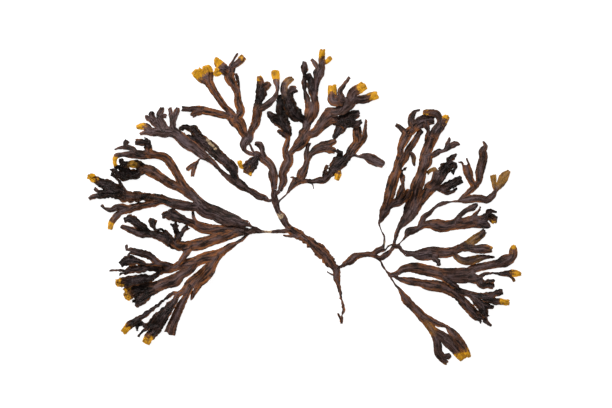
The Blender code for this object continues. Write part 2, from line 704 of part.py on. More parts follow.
# Right side, the two lower fronds
RIGHT_LOWER_FIRST = strap(
    [
        (50.1, -0.1, 5.7), (55, 1, 7.1), (61, 0.7, 8.5), (66.9, -0.8, 8.6), (73, -2.1, 8.7),
        (79, -3.6, 8.9),
    ],
    strap([(83.5, -8, 5.9), (88, -11.8, 4.5), (91.6, -13.7, 2.5)], layer=1),
    strap(
        [(84, -3.8, 10), (90, -4.8, 11.7), (95, -4.9, 12), (98.6, -4.6, 11.6)],
        strap(
            [(102.9, -6.8, 7.5), (106, -7.2, 6.3)],
            strap(
                [(108.3, -10.7, 7.1)],
                strap([(113.4, -11.9, 4.9), (118, -13.1, 4.7)]),
                strap([(112.6, -8.4, 2.7), (115.6, -8.6, 3.1), (118, -7.6, 2.5)]),
            ),
            strap(
                [(110.9, -3.7, 3.2), (118, -3.1, 1.6), (124, -3.5, 3.3), (128.6, -3.2, 5.4)],
                strap([(133, -3, 5.8), (138.7, -3.7, 3.1)], ripe=0.9),
                strap([(131.5, -6.3, 2.3), (133.9, -9.6, 2.4)]),
            ),
        ),
        strap(
            [
                (103.9, 0.4, 6.7), (108.3, 1.5, 6.2), (114, 2.7, 6), (120.6, 4, 6.7), (126.5, 6.1, 9.4),
                (131.8, 9.3, 6.7), (132.8, 14.5, 6), (132.7, 18.4, 3.5),
            ],
            ripe=0.5,
            tip=0.8,
        ),
    ),
    node="frond_right_lower_first",
)
RIGHT_LOWER_SECOND = strap(
    [
        (51.1, -8.3, 4.9), (57.1, -9.3, 6.5), (63.1, -10.4, 6), (69, -11.9, 8.2), (75, -12.6, 8.6),
        (81, -13.8, 8.7), (85.9, -15.5, 9.2),
    ],
    strap(
        [(91.5, -20.5, 6.4), (96.4, -25.8, 7.3), (101.2, -30.8, 7.7), (104.5, -34.3, 7.6)],
        strap([(109.4, -39.7, 3.1)]),
        strap([(110, -36.2, 4.7), (112.3, -39.5, 4.2), (116.8, -42.3, 1.5)]),
    ),
    strap(
        [(93, -16.7, 5.5), (99.9, -18.7, 4.8)],
        strap(
            [(103.6, -22, 6.1), (107.4, -25, 8.5)],
            strap([(109.4, -30, 6.9), (112.4, -36.3, 4.8)]),
            strap([(113.2, -27, 5.5), (117.8, -29, 4.1)]),
        ),
        strap(
            [(106.4, -20.2, 5.6), (111.9, -20.8, 7.3)],
            strap([(117.5, -23.8, 5.5), (124, -24.2, 4.9), (130, -25.3, 5.1)], ripe=1, tip=0.8),
            strap([(118.3, -18.2, 4.7), (124.9, -16.9, 4.7)]),
        ),
    ),
    node="frond_right_lower_second",
)

# Bottom right frond
BOTTOM_RIGHT = strap(
    [
        (47.5, -15.1, 2.7), (49.9, -19, 4.5), (52.6, -23.2, 7), (56.6, -27.3, 6.1), (60.6, -31.3, 6.6),
        (64.8, -35.8, 7.3),
    ],
    strap(
        [(68.9, -40.9, 6.4), (72.6, -46.1, 6.5)],
        strap(
            [(74.9, -52, 5.8), (76.2, -57.6, 6.5), (76.8, -62.7, 6.6), (79.8, -66.7, 6.5)],
            strap([(83.6, -70.7, 4.2)]),
            strap([(84, -65.4, 5.1), (86.2, -64.2, 4)]),
        ),
        strap(
            [
                (78.4, -49.2, 6.5), (83.2, -53.2, 9.1), (88.2, -57.6, 9.5), (92.4, -62.8, 8.5),
                (95.8, -67.6, 6.5),
            ],
            ripe=0.8,
            tip=0.7,
        ),
    ),
    strap(
        [
            (70.4, -37.8, 4.8), (76.4, -41, 4.5), (82.4, -42.9, 2.9), (86.9, -47.7, 6.3),
            (91.3, -53, 7), (94.9, -58.2, 6.3), (99.9, -65.7, 3),
        ],
        ripe=0.6,
        layer=1,
    ),
    node="frond_bottom_right",
)

# The stipe, from the holdfast to each frond's root
LEFT_HUB = strap(
    [(-38.6, 28.4, 3.4), (-45, 28.2, 2.8), (-51, 27.9, 1.8), (-56, 28.2, 2.8), (-60, 29.2, 5)],
    strap(
        [(-64.8, 28.2, 4.4)],
        strap([(-67.3, 25, 1.9), (-69.8, 22.7, 3)], LEFT_LOWER),
        strap([(-69, 28.4, 6.8)], LEFT_MIDDLE),
    ),
    strap([(-62.9, 31.9, 1.6), (-66, 33.8, 4.5)], LEFT_UPPER),
)
UPPER_HUB = strap(
    [(-37.3, 33.6, 5), (-40.1, 38.8, 6), (-43.6, 43.8, 4), (-44.9, 48.2, 5.2)],
    strap([(-42.5, 50.9, 1.3), (-40, 53.4, 1.7)], CENTRE),
    strap(
        [(-46, 52, 5.5)],
        strap([(-50.1, 51.3, 2.8), (-53, 53, 4.7)], UPPER_LEFT),
        strap(
            [(-46.4, 55.4, 4.9)],
            strap([(-42.2, 58.6, 3.1)], TOP_CENTRE),
            strap([(-46.3, 59.6, 4)], TOP_LEFT),
        ),
    ),
)
LEFT_AXIS = strap(
    [
        (-2.2, 2, 6.6), (-4.8, 5.5, 8.5), (-7.9, 10.1, 8.2), (-12, 13.5, 9.3), (-17.1, 17.9, 7.6),
        (-22.2, 22.1, 6.3), (-26.5, 25.2, 7.2),
    ],
    strap([(-32.5, 24.6, 2.5), (-36.5, 24.8, 1.8), (-40, 25.4, 1.2)], tip=0.4),
    strap([(-31, 27.6, 7.1), (-34.7, 29.6, 6.2)], LEFT_HUB, UPPER_HUB),
)
RIGHT_HUB = strap(
    [(33.8, 8.3, 4), (37.5, 10.8, 4.6), (40.6, 13.3, 2.9), (42.9, 16.4, 3.3)],
    strap(
        [(46.8, 17.2, 3.6)],
        strap([(49.6, 13.8, 2.8), (52.6, 11.9, 4.6)], RIGHT_FLAT),
        strap([(49.6, 21.3, 1.1), (52.3, 24.5, 2.6)], RIGHT_UPPER),
    ),
    strap([(44.1, 21.5, 2.5), (45.3, 26, 3.4)], TALL_SECOND),
)
LOWER_HUB = strap(
    [(33.4, 5.7, 1.3), (35.1, 2.1, 1.8), (37.8, -1.5, 1.5), (40.3, -4.2, 3)],
    strap([(42, -8, 1.4), (44.5, -11.8, 1.5)], BOTTOM_RIGHT),
    strap(
        [(43.4, -4.5, 4.2)],
        strap([(46.6, -6.9, 2.8)], RIGHT_LOWER_SECOND),
        strap([(46.7, -2.4, 4.3)], RIGHT_LOWER_FIRST),
    ),
)
RIGHT_AXIS = strap(
    [
        (3.4, 1.3, 2.5), (6.8, 4, 4), (10.9, 6.2, 6.2), (14.4, 9.4, 5.8), (18.6, 10.3, 4.2),
        (23, 11.1, 4.3), (27.3, 10.9, 4.3),
    ],
    strap([(30.5, 9, 3.3)], LOWER_HUB, RIGHT_HUB),
    strap(
        [(31, 13.8, 4.5), (35.4, 15.4, 5.1)],
        strap([(39.7, 17.6, 1.2), (44.8, 18.8, 1.4)]),
        strap([(36.1, 20.5, 1.6), (36.2, 24.1, 1.2), (34.1, 28.5, 1), (32.3, 33.4, 1.2)], TALL_FIRST),
    ),
)
PLANT = strap(
    [(4.2, -41, 2.7), (4.1, -38.2, 2.6)],
    strap([(2.7, -35.9, 1.9), (1.4, -32.9, 1.8)]),
    strap(
        [
            (4.5, -34.9, 1.5), (5.4, -31, 2.3), (4.8, -26, 1.6), (3.5, -21.6, 1.6), (2.9, -17, 2.7),
            (1.9, -12.1, 2.9), (0.9, -8.1, 5.1),
        ],
        strap([(-2, -4.8, 1.6), (-4.5, -3.3, 1.2), (-6.9, -1.9, 1.1)]),
        strap([(0.7, -4, 5.5), (0.1, 0, 7.5)], LEFT_AXIS, RIGHT_AXIS),
    ),
    node="stipe",
)

# The colour of each node: (red, green, blue), linear
COLOURS = {
    "stipe": (0.045, 0.030, 0.022),
    "left": (0.055, 0.034, 0.026),
    "upper": (0.050, 0.034, 0.030),
    "top": (0.060, 0.036, 0.022),
    "centre": (0.048, 0.030, 0.024),
    "right": (0.052, 0.032, 0.026),
    "bottom": (0.065, 0.036, 0.016),
}


def unit(vector):
    """Vectors of length one."""
    return vector / np.maximum(np.linalg.norm(vector, axis=-1, keepdims=True), 1e-9)


def left_of(heading):
    """The heading turned a quarter to the left."""
    return np.stack([-heading[..., 1], heading[..., 0]], axis=-1)


def ease(x):
    """Nothing below 0, one above 1, smooth between."""
    x = np.clip(x, 0, 1)
    return x * x * (3 - 2 * x)


def smooth_curve(points, heading, hold, spacing=0.5):
    """A Hermite curve through the (x, y, width) points, which at first holds to the heading."""
    points = np.asarray(points, float)
    steps = np.linalg.norm(np.diff(points[:, :2], axis=0), axis=1)[:, None]
    chords = np.diff(points, axis=0) / steps
    inner = (chords[:-1] * steps[1:] + chords[1:] * steps[:-1]) / (steps[:-1] + steps[1:])
    slopes = np.concatenate([chords[:1], inner, chords[-1:]])
    if heading is not None:
        slopes[0, :2] = unit(hold * heading + (1 - hold) * chords[0, :2])
    parts = [points[:1]]
    for i, step in enumerate(steps[:, 0]):
        t = np.linspace(0, 1, max(2, math.ceil(step / spacing)) + 1)[1:, None]
        leaving = points[i] * (2 * t**3 - 3 * t**2 + 1) + slopes[i] * step * (t**3 - 2 * t**2 + t)
        reaching = points[i + 1] * (3 * t**2 - 2 * t**3) + slopes[i + 1] * step * (t**3 - t**2)
        parts.append(leaving + reaching)
    curve = np.concatenate(parts)
    curve[:, 2] = np.maximum(curve[:, 2], NARROWEST)
    return curve


class Strap:
    """A strap as it grows: its curve, its place in the tree and, once laid, its height."""

    def __init__(self, source, parent, start, heading):
        self.form = source["form"]
        self.parent = parent
        self.joined = len(source["kids"]) == 1
        self.node = self.form.get("node", parent.node if parent else "")
        self.layer = self.form.get("layer", parent.layer if parent else 0)
        hold = 1.0 if parent and parent.joined else 0.5
        self.curve = smooth_curve(start + list(source["path"]), heading, hold)
        run = np.linalg.norm(np.diff(self.curve[:, :2], axis=0), axis=1)
        self.s = np.concatenate([[0], np.cumsum(run)])
        self.length = self.s[-1]
        self.heading = unit(np.gradient(self.curve[:, :2], self.s, axis=0))
        self.depth = parent.depth + parent.length if parent else 0.0
        self.kids = []
        self.web = 0.0

    def at(self, s):
        """Centre, left-hand direction and half width at the distances s."""
        centre = np.stack([np.interp(s, self.s, self.curve[:, k]) for k in (0, 1)], axis=-1)
        heading = np.stack([np.interp(s, self.s, self.heading[:, k]) for k in (0, 1)], axis=-1)
        half = np.interp(s, self.s, self.curve[:, 2]) / 2
        return centre, left_of(unit(heading)), half

    def edges(self, s):
        """The left and the right edge at the distances s."""
        centre, side, half = self.at(s)
        return centre + side * half[:, None], centre - side * half[:, None]

    def height(self, s):
        """Height of the rib, once the plant is laid."""
        return np.interp(s, self.laid_s, self.laid_z)


def grow(source, parent, start, heading, straps):
    """Turns the nested straps into a list. The two that fork from an end start side by side, left first."""
    this = Strap(source, parent, start, heading)
    this.index = len(straps)
    straps.append(this)
    kids = source["kids"]
    if not kids:
        return this
    centre, side, half = this.at(np.array(this.length))
    forward = this.heading[-1]
    if this.joined:
        this.kids = [grow(kids[0], this, [(*centre, 2 * half)], forward, straps)]
        return this
    lean = [np.dot(np.array(kid["path"][0][:2]) - centre, side) for kid in kids]
    grown = {}
    for kid, leaning in zip(kids, lean):
        sign = 1 if leaning == max(lean) else -1
        width = min(kid["path"][0][2], 2 * half)
        begin = centre + side * sign * (half - width / 2)
        grown[sign] = grow(kid, this, [(*begin, width)], forward, straps)
    this.kids = [grown[1], grown[-1]]
    this.web = web_length(*this.kids)
    return this


def inner_gap(left, right, s):
    """How far apart the inner edges of two straps that fork stand: below nothing where they overlap."""
    _, left_inner = left.edges(s)
    right_inner, _ = right.edges(s)
    across = unit(left.at(s)[0] - right.at(s)[0] + 1e-6)
    return ((left_inner - right_inner) * across).sum(1)


def web_length(left, right):
    """How far from the fork the straps stay one sheet, before the notch parts them."""
    most = 0.86 * min(left.length, right.length)
    s = np.arange(0.8, most, 0.1)
    parted = inner_gap(left, right, s) >= NOTCH_GAP
    return s[parted.argmax()] if parted.any() else most


def rib_thickness(width):
    """The rib's thickness for a strap this wide."""
    return np.clip(RIB_THICKNESS_START + RIB_GAIN * width, RIB_THICKNESS_LEAST, RIB_THICKNESS_MOST)


def wave(xy):
    """A gentle swell over the whole plant, the same for every strap that passes a place."""
    x, y = xy[..., 0], xy[..., 1]
    swell = np.sin(0.31 * x + 0.12 * y + 0.7)
    swell = swell + np.sin(0.17 * y - 0.23 * x + 2.1)
    swell = swell + 0.6 * np.sin(0.36 * y + 0.09 * x)
    still = np.exp(-(x**2 + y**2) / WAVE_STILL**2)
    return WAVE_HEIGHT / 2.6 * swell * (1 - still)


def habit(this):
    """How each strap tilts, cups and frills, drawn from the seed and its place in the plant."""
    draw = np.random.default_rng(SEED + 31 * this.index).uniform(-1, 1, 8)
    return {
        "tilt": 0.16 * draw[0],
        "tilt_wave": 0.14 * draw[1],
        "tilt_length": 24 + 8 * draw[2],
        "tilt_phase": math.pi * draw[3],
        "cup": 0.2 * draw[4] - 0.06,
        "frill": 0.1 + 0.04 * draw[5],
        "frill_left": math.pi * draw[6],
        "frill_right": math.pi * draw[7],
    }


def profile(this, s, u):
    """Height above the rib's line at the side position u, from -1 at the right edge to 1 at the left."""
    own = habit(this)
    half = this.at(s)[2]
    fade = ease((s - (this.parent.web if this.parent else 0)) / HABIT_FADE)
    if this.kids:
        fade = fade * ease((this.length - s) / HABIT_FADE)
    rolling = 2 * math.pi * s / own["tilt_length"] + own["tilt_phase"]
    tilt = own["tilt"] + own["tilt_wave"] * np.sin(rolling)
    frilling = 2 * math.pi * s / (3.2 * half + 6)
    phase = np.where(u > 0, own["frill_left"], own["frill_right"])
    bend = own["cup"] + own["frill"] * np.sin(frilling + phase)
    return fade * half * (tilt * u + bend * u * u)


def thickness(this, s, u):
    """Thickest at the rib, thin at the edges, with ripe tips swollen."""
    rib = rib_thickness(2 * this.at(s)[2]) - EDGE_THICKNESS
    ripe = this.form.get("ripe", 0) * ease((s - this.length) / RIPE_LENGTH + 1)
    return EDGE_THICKNESS + rib * np.exp(-((u / RIB_SHARE) ** 2)) + RIPE_SWELLING * ripe * (1 - u * u)


def resting_lift(this, s):
    """Most straps rest, and the loose ends rise a little towards their tips."""
    if this.kids or this.length < HABIT_FADE:
        return 0 * s
    draw = np.random.default_rng(SEED + 17 * this.index).uniform(0, 1)
    return MOST_RISE * draw**2 * (s / this.length) ** 2


def shared_forks(straps):
    """For each pair of straps, the depth of the fork where they part, and the length of its web."""
    count = len(straps)
    chains = []
    for this in straps:
        chain = [this.index]
        while straps[chain[-1]].parent:
            chain.append(straps[chain[-1]].parent.index)
        chains.append(chain[::-1])
    fork = np.full((count, count), np.inf)
    web = np.zeros((count, count))
    for a in range(count):
        for b in range(a):
            shared = sum(1 for p, q in zip(chains[a], chains[b]) if p == q)
            if shared < min(len(chains[a]), len(chains[b])):
                common = straps[chains[a][shared - 1]]
                fork[a, b] = fork[b, a] = common.depth + common.length
                web[a, b] = web[b, a] = common.web
    return fork, web


def tree_distance(straps, owner, depth):
    """Distance along the straps between every two samples, and each pair's distance past its notch."""
    pairs = np.ix_(owner, owner)
    fork, web = (table[pairs] for table in shared_forks(straps))
    parted = np.isfinite(fork)
    around = depth[:, None] + depth[None, :] - 2 * np.where(parted, fork, 0)
    apart = np.where(parted, around, np.abs(depth[:, None] - depth[None, :]))
    past = np.minimum(depth[:, None], depth[None, :]) - fork - web
    return apart, ~parted | (past > PAST_NOTCH)


def drop(distance):
    """How far a strap may come down within this distance."""
    crest_end = SLOPE / (2 * CREST)
    crest = CREST * np.minimum(distance, crest_end) ** 2
    return crest + SLOPE * np.maximum(distance - crest_end, 0)


def crossings(centre, side, half):
    """Which samples lie over or under which, seen from above."""
    ahead = np.stack([side[:, 1], -side[:, 0]], axis=1)
    crossing = np.zeros((len(half), len(half)), bool)
    for u in TRIAL_SIDES:
        point = centre + side * half[:, None] * u
        away = point[:, None, :] - centre[None, :, :]
        along = np.abs((away * ahead[None]).sum(2))
        aside = np.abs((away * side[None]).sum(2))
        crossing |= (along < TRIAL_ALONG) & (aside < half[None, :] + TRIAL_ASIDE)
    return crossing | crossing.T


def spread(straps, samples, centre, side, half):
    """The lowest and the highest point of each sample, measured from the rib's line."""
    low = np.full(len(half), np.inf)
    top = np.full(len(half), -np.inf)
    for u in TRIAL_SIDES:
        middle = wave(centre + side * half[:, None] * u)
        middle += np.concatenate([profile(this, s, u) for this, s in zip(straps, samples)])
        thick = np.concatenate([thickness(this, s, u) for this, s in zip(straps, samples)])
        low = np.minimum(low, middle - thick / 2)
        top = np.maximum(top, middle + thick / 2)
    return low, top


def lay(straps):
    """Sets the height of every strap's rib, so that each clears the surface and what it crosses."""
    samples = []
    for this in straps:
        this.laid_s = np.linspace(0, this.length, max(3, math.ceil(this.length / TRIAL_STEP) + 1))
        samples.append(this.laid_s)
    owner = np.concatenate([np.full(len(s), i) for i, s in enumerate(samples)])
    depth = np.concatenate([this.depth + s for this, s in zip(straps, samples)])
    places = [this.at(s) for this, s in zip(straps, samples)]
    centre, side, half = (np.concatenate([place[k] for place in places]) for k in range(3))
    low, top = spread(straps, samples, centre, side, half)

    apart, past_notch = tree_distance(straps, owner, depth)
    reach = half[:, None] + half[None, :]
    same = owner[:, None] == owner[None, :]
    free = np.where(same, apart > 2.2 * reach + 3, apart > 1.25 * reach + 2)
    rank = np.array([LAYER_RANK * this.layer + this.index for this in straps])[owner]
    over = rank[:, None] > rank[None, :]
    over |= same & (depth[:, None] > depth[None, :])
    upper, lower = np.nonzero(crossings(centre, side, half) & free & past_notch & over)

    lift = np.concatenate([resting_lift(this, s) for this, s in zip(straps, samples)])
    floor = lift - low
    falls = drop(apart)
    need = top[lower] - low[upper] + CLEARANCE
    height = floor
    for _ in range(LAYING_TURNS):
        wanted = floor.copy()
        np.maximum.at(wanted, upper, height[lower] + need)
        raised = (wanted[None, :] - falls).max(1)
        change = np.abs(raised - height).max()
        height = raised
        if change < LAID:
            break
    near = np.exp(-(apart**2) / (2 * SETTLING**2))
    height = (near * height[None, :]).sum(1) / near.sum(1) + CREST * SETTLING**2
    for this in straps:
        this.laid_z = height[owner == this.index]


class Sheet:
    """The middle surface of one node: its points, each with a thickness, and its triangles."""

    def __init__(self):
        self.points = []
        self.thick = []
        self.faces = []

    def add_row(self, xyz, thick):
        first = len(self.points)
        self.points.extend(xyz)
        self.thick.extend(thick)
        return list(range(first, first + len(xyz)))

    def stitch(self, back, front):
        """Triangles between two rows that both run left to right, of any two counts."""
        i = j = 0
        last_i, last_j = len(back) - 1, len(front) - 1
        while i < last_i or j < last_j:
            if j == last_j or (i < last_i and (i + 1) * last_j <= (j + 1) * last_i):
                self.faces.append((back[i], back[i + 1], front[j]))
                i += 1
            else:
                self.faces.append((back[i], front[j + 1], front[j]))
                j += 1


def is_wide(*straps):
    """Whether any of the straps is wide enough for columns beside its rib."""
    return max(this.curve[:, 2].max() for this in straps) > NARROW


def side_positions(this):
    """Where the columns of a row stand, from 1 at the left edge to -1 at the right."""
    return np.array([1, RIB_SHARE, 0, -RIB_SHARE, -1]) if is_wide(this) else np.array([1, 0, -1.0])


def row_distances(this, begin, end):
    """Distances of the rows: closer where the strap turns or bows."""
    s = np.linspace(begin, end, 80)
    heading = np.stack([np.interp(s, this.s, this.heading[:, k]) for k in (0, 1)], axis=1)
    turning = np.linalg.norm(np.gradient(heading, s, axis=0), axis=1)
    bend = np.abs(np.gradient(np.gradient(this.height(s), s), s))
    density = np.maximum(turning / ROW_TURN, np.sqrt(bend / (8 * ROW_SAG)))
    density = np.maximum(density, 1 / ROW_STEP)
    density = np.convolve(np.pad(density, 4, mode="edge"), np.full(9, 1 / 9), mode="valid")
    total = np.concatenate([[0], np.cumsum((density[1:] + density[:-1]) / 2 * np.diff(s))])
    count = max(1, round(total[-1]))
    return np.interp(np.linspace(0, total[-1], count + 1), total, s)


def row_points(this, s, u, shrink=1.0, pull=(0.0, 0.0)):
    """One row of points across the strap, and their thicknesses."""
    s = np.full(len(u), s)
    centre, side, half = this.at(s)
    reach = u * half * shrink - u * np.where(u > 0, *pull)
    xy = centre + side * reach[:, None]
    z = this.height(s) + wave(xy) + profile(this, s, u)
    return np.column_stack([xy, z]), thickness(this, s, u)


def inner_pull(this, s):
    """How far the edge beside the other half of a fork is drawn in, as (left, right), to keep a gap."""
    if not this.parent or this.parent.joined:
        return (0.0, 0.0)
    left, right = this.parent.kids
    if s > min(left.length, right.length, this.parent.web + 12):
        return (0.0, 0.0)
    short = max(0.0, EDGE_GAP - inner_gap(left, right, np.array([s]))[0]) / 2
    return (0.0, short) if this is left else (short, 0.0)


def build_strap(sheet, this, row, begin):
    """Adds the strap's rows past the one given, then its fork, its joint or its tip."""
    u = side_positions(this)
    end = this.length - (JOINT_GAP / 2 if this.joined else 0)
    body_end = end
    if not this.kids:
        body_end -= 0.3 * min(this.curve[-1, 2], end - begin)
    for s in row_distances(this, begin, body_end)[1:]:
        new = sheet.add_row(*row_points(this, s, u, 1.0, inner_pull(this, s)))
        sheet.stitch(row, new)
        row = new
    if not this.kids:
        shrink = this.form.get("tip", 0.55)
        sheet.stitch(row, sheet.add_row(*row_points(this, end, u, shrink)))
    elif not this.joined:
        build_fork(sheet, this, row)


def web_row(left, right, s, columns):
    """A row over both halves of a fork, whose middle point runs to the notch."""
    s = np.array([s])
    outer_left, inner_left = (edge[0] for edge in left.edges(s))
    inner_right, outer_right = (edge[0] for edge in right.edges(s))
    middle = (inner_left + inner_right) / 2
    share = np.linspace(0, 1, columns + 1)[:, None]
    left_half = outer_left + (middle - outer_left) * share
    right_half = middle + (outer_right - middle) * share[1:]
    xy = np.concatenate([left_half, right_half])
    on_left = np.arange(len(xy)) <= columns
    heights = left.height(s), right.height(s)
    own = np.where(on_left, *heights)
    lean = np.concatenate([share[:, 0] ** 2, (1 - share[1:, 0]) ** 2])
    z = own + lean * (sum(heights) / 2 - own) + wave(xy)
    (a, _, a_half), (b, _, b_half) = left.at(s), right.at(s)
    rib = np.where(on_left, rib_thickness(2 * a_half), rib_thickness(2 * b_half)) - EDGE_THICKNESS
    away = np.minimum(np.linalg.norm(xy - a, axis=1), np.linalg.norm(xy - b, axis=1))
    thick = EDGE_THICKNESS + rib * np.exp(-((away / RIB_REACH) ** 2))
    return np.column_stack([xy, z]), thick


def build_fork(sheet, this, row):
    """Rows over both straps of a fork up to the notch, then each strap on its own."""
    left, right = this.kids
    columns = 2 if is_wide(this, left, right) else 1
    count = max(1, round(this.web / WEB_STEP))
    for k in range(1, count + 1):
        new = sheet.add_row(*web_row(left, right, this.web * k / count, columns))
        sheet.stitch(row, new)
        row = new
    build_strap(sheet, left, row[: columns + 1], this.web)
    build_strap(sheet, right, row[columns:], this.web)


def build_node(root):
    """The sheet of one node, from its root strap."""
    sheet = Sheet()
    begin = JOINT_GAP / 2 if root.parent else 0.0
    shrink = 1.0 if root.parent else 0.7
    row = sheet.add_row(*row_points(root, begin, side_positions(root), shrink))
    build_strap(sheet, root, row, begin)
    return sheet


def sides_of_body(points, faces, thick):
    """The points above and below the middle surface, half the thickness away along its normals."""
    corners = points[faces]
    face_normals = np.cross(corners[:, 1] - corners[:, 0], corners[:, 2] - corners[:, 0])
    normals = np.zeros_like(points)
    for k in range(3):
        np.add.at(normals, faces[:, k], face_normals)
    half = unit(normals) * thick[:, None] / 2
    upper = points + half
    lower = points - half
    lower[:, 2] = np.maximum(lower[:, 2], 0)
    resting = np.hypot(points[:, 0], points[:, 1]) < RESTING_RADIUS
    lower[resting, 2] = 0
    return upper, lower


def solid_from(sheet, name):
    """A closed body: the sheet raised from its lower face to its upper one."""
    points = np.array(sheet.points)
    upper, lower = sides_of_body(points, np.array(sheet.faces), np.array(sheet.thick))
    body = bmesh.new()
    place = body.verts.layers.int.new("place")
    corners = [body.verts.new(point) for point in points]
    for i, corner in enumerate(corners):
        corner[place] = i
    for face in sheet.faces:
        body.faces.new([corners[i] for i in face])
    raised = bmesh.ops.extrude_face_region(body, geom=body.faces[:])
    above = {part for part in raised["geom"] if isinstance(part, bmesh.types.BMVert)}
    for corner in body.verts:
        side = upper if corner in above else lower
        corner.co = side[corner[place]] * METRES
    bmesh.ops.recalc_face_normals(body, faces=body.faces[:])
    mesh = bpy.data.meshes.new(name)
    body.to_mesh(mesh)
    body.free()
    mesh.shade_smooth()
    mesh.set_sharp_from_angle(angle=math.radians(50))
    mesh.materials.append(weed(name))
    bpy.context.scene.collection.objects.link(bpy.data.objects.new(name, mesh))


def weed(name):
    """The node's own material: dark brown, a little glossy, as dried weed is."""
    material = bpy.data.materials.new(name + "_weed")
    material.use_nodes = True
    shader = material.node_tree.nodes["Principled BSDF"]
    colour = next(colour for key, colour in COLOURS.items() if key in name)
    shader.inputs["Base Color"].default_value = (*colour, 1)
    shader.inputs["Roughness"].default_value = 0.5
    return material


def main():
    for old in list(bpy.data.objects):
        bpy.data.objects.remove(old, do_unlink=True)
    straps = []
    grow(PLANT, None, [], None, straps)
    lay(straps)
    for this in straps:
        if this.parent is None or this.node != this.parent.node:
            solid_from(build_node(this), this.node)


main()
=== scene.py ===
# %% [markdown]
# # A dried fucus seaweed
# The real thing is one dried plant of brown seaweed, laid flat on a white sheet. A thin stipe
# forks, its two axes fork again, and every arm ends in a spray of leathery straps with a rib
# along the middle. The straps fork too, some ten times over, and end in blunt tips, of which the
# ripe ones are swollen and amber.
#
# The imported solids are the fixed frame. Each is a coarse frond with thick edges. This lesson
# draws the same straps again with a fine mesh, thin edges, creases and colour, and lets each new
# frond stand for the solid of the same name.

# %% The fixed frame
import json
import math

import bpy
import numpy as np
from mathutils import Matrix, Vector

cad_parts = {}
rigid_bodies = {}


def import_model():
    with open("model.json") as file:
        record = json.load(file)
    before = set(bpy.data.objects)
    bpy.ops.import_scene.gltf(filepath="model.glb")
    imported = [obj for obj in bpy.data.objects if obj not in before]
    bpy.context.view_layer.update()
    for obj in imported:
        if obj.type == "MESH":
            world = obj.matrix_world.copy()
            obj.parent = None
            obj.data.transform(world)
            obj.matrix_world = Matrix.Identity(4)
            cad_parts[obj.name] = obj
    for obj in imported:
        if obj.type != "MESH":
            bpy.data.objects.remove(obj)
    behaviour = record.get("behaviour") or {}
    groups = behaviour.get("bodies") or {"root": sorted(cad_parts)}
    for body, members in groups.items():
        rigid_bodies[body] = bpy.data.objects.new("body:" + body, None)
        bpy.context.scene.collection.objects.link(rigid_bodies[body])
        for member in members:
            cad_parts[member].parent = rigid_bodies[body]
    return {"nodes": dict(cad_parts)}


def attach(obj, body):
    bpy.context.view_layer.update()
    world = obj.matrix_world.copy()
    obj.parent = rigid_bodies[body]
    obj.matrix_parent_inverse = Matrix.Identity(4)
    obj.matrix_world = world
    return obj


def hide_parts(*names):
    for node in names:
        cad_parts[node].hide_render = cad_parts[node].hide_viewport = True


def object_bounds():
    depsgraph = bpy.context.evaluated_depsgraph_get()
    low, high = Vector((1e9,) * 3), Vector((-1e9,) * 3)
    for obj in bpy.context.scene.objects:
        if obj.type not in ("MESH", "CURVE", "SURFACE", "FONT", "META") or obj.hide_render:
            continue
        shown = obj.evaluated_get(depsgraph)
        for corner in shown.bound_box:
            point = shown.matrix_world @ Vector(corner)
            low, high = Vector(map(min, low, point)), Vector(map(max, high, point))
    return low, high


MM = 0.001
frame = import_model()
cad_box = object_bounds()
print(len(frame["nodes"]), "solids in the frame")

# %% [markdown]
# ## The camera
# The plant was photographed from straight above. One pixel of the picture is 0.75 mm on the
# sheet, and the plant's resting spot lies right of the middle and below it. An orthographic
# camera would show the plan alone. A long lens high above is nearly as flat, and still lets the
# raised tips lean outwards a little, as in the photograph.

# %% Camera
PIXEL = 0.75
PICTURE = (612, 408)
RESTING_PIXEL = (336, 269)
LENS = 85.0
SENSOR = 36.0


def add_object(name, data):
    """A new object with this data, linked to the scene."""
    thing = bpy.data.objects.new(name, data)
    bpy.context.scene.collection.objects.link(thing)
    return thing


camera_data = bpy.data.cameras.new("camera")
camera_data.lens = LENS
camera_data.sensor_width = SENSOR
camera = add_object("camera", camera_data)
camera.location = (
    (PICTURE[0] / 2 - RESTING_PIXEL[0]) * PIXEL * MM,
    (RESTING_PIXEL[1] - PICTURE[1] / 2) * PIXEL * MM,
    PICTURE[0] * PIXEL * LENS / SENSOR * MM,
)
bpy.context.scene.camera = camera
print("camera", round(camera.location.z, 2), "m above the sheet")

# %% [markdown]
# ## A white sheet
# Such pictures are taken on a white sheet that is lit from below too, as on a light table, so
# that nothing but the plant shows. Strong lamps alone could make it white, but they would bleach
# the plant as well, so the sheet gives off some light of its own. The plain colour transform
# lets it reach white.

# %% Sheet
SHEET_SIZE = 3.0
PAPER = {
    "Base Color": (0.3, 0.3, 0.3, 1),
    "Roughness": 0.9,
    "Specular IOR Level": 0.1,
    "Emission Color": (1, 1, 1, 1),
    "Emission Strength": 0.92,
}

bpy.context.scene.view_settings.view_transform = "Standard"
paper = bpy.data.materials.new("white_sheet")
paper.use_nodes = True
for socket, value in PAPER.items():
    paper.node_tree.nodes["Principled BSDF"].inputs[socket].default_value = value
sheet = bpy.data.meshes.new("floor")
end = SHEET_SIZE / 2
sheet.from_pydata([(-end, -end, 0), (end, -end, 0), (end, end, 0), (-end, end, 0)], [], [(0, 1, 2, 3)])
sheet.materials.append(paper)
floor = add_object("floor", sheet)
print("a sheet", SHEET_SIZE, "m wide")

# %% [markdown]
# ## Soft light
# A lamp to the upper left draws a gloss along the ribs and creases, over the sheen that is
# painted on the ribs in the colour. One lamp would leave the far sides of the ribs black, so a
# weaker lamp stands across from it and a weak surrounding fills the rest. Wide area lamps are
# chosen because a point would cast hard shadows.

# %% Lamps and surrounding
LAMPS = {"key_lamp": ((-0.8, 0.9, 1.1), 27, 0.45), "fill_lamp": ((1.0, 0.2, 1.2), 5, 0.8)}
SKY = (0.95, 0.97, 1, 1)
SKY_STRENGTH = 0.14

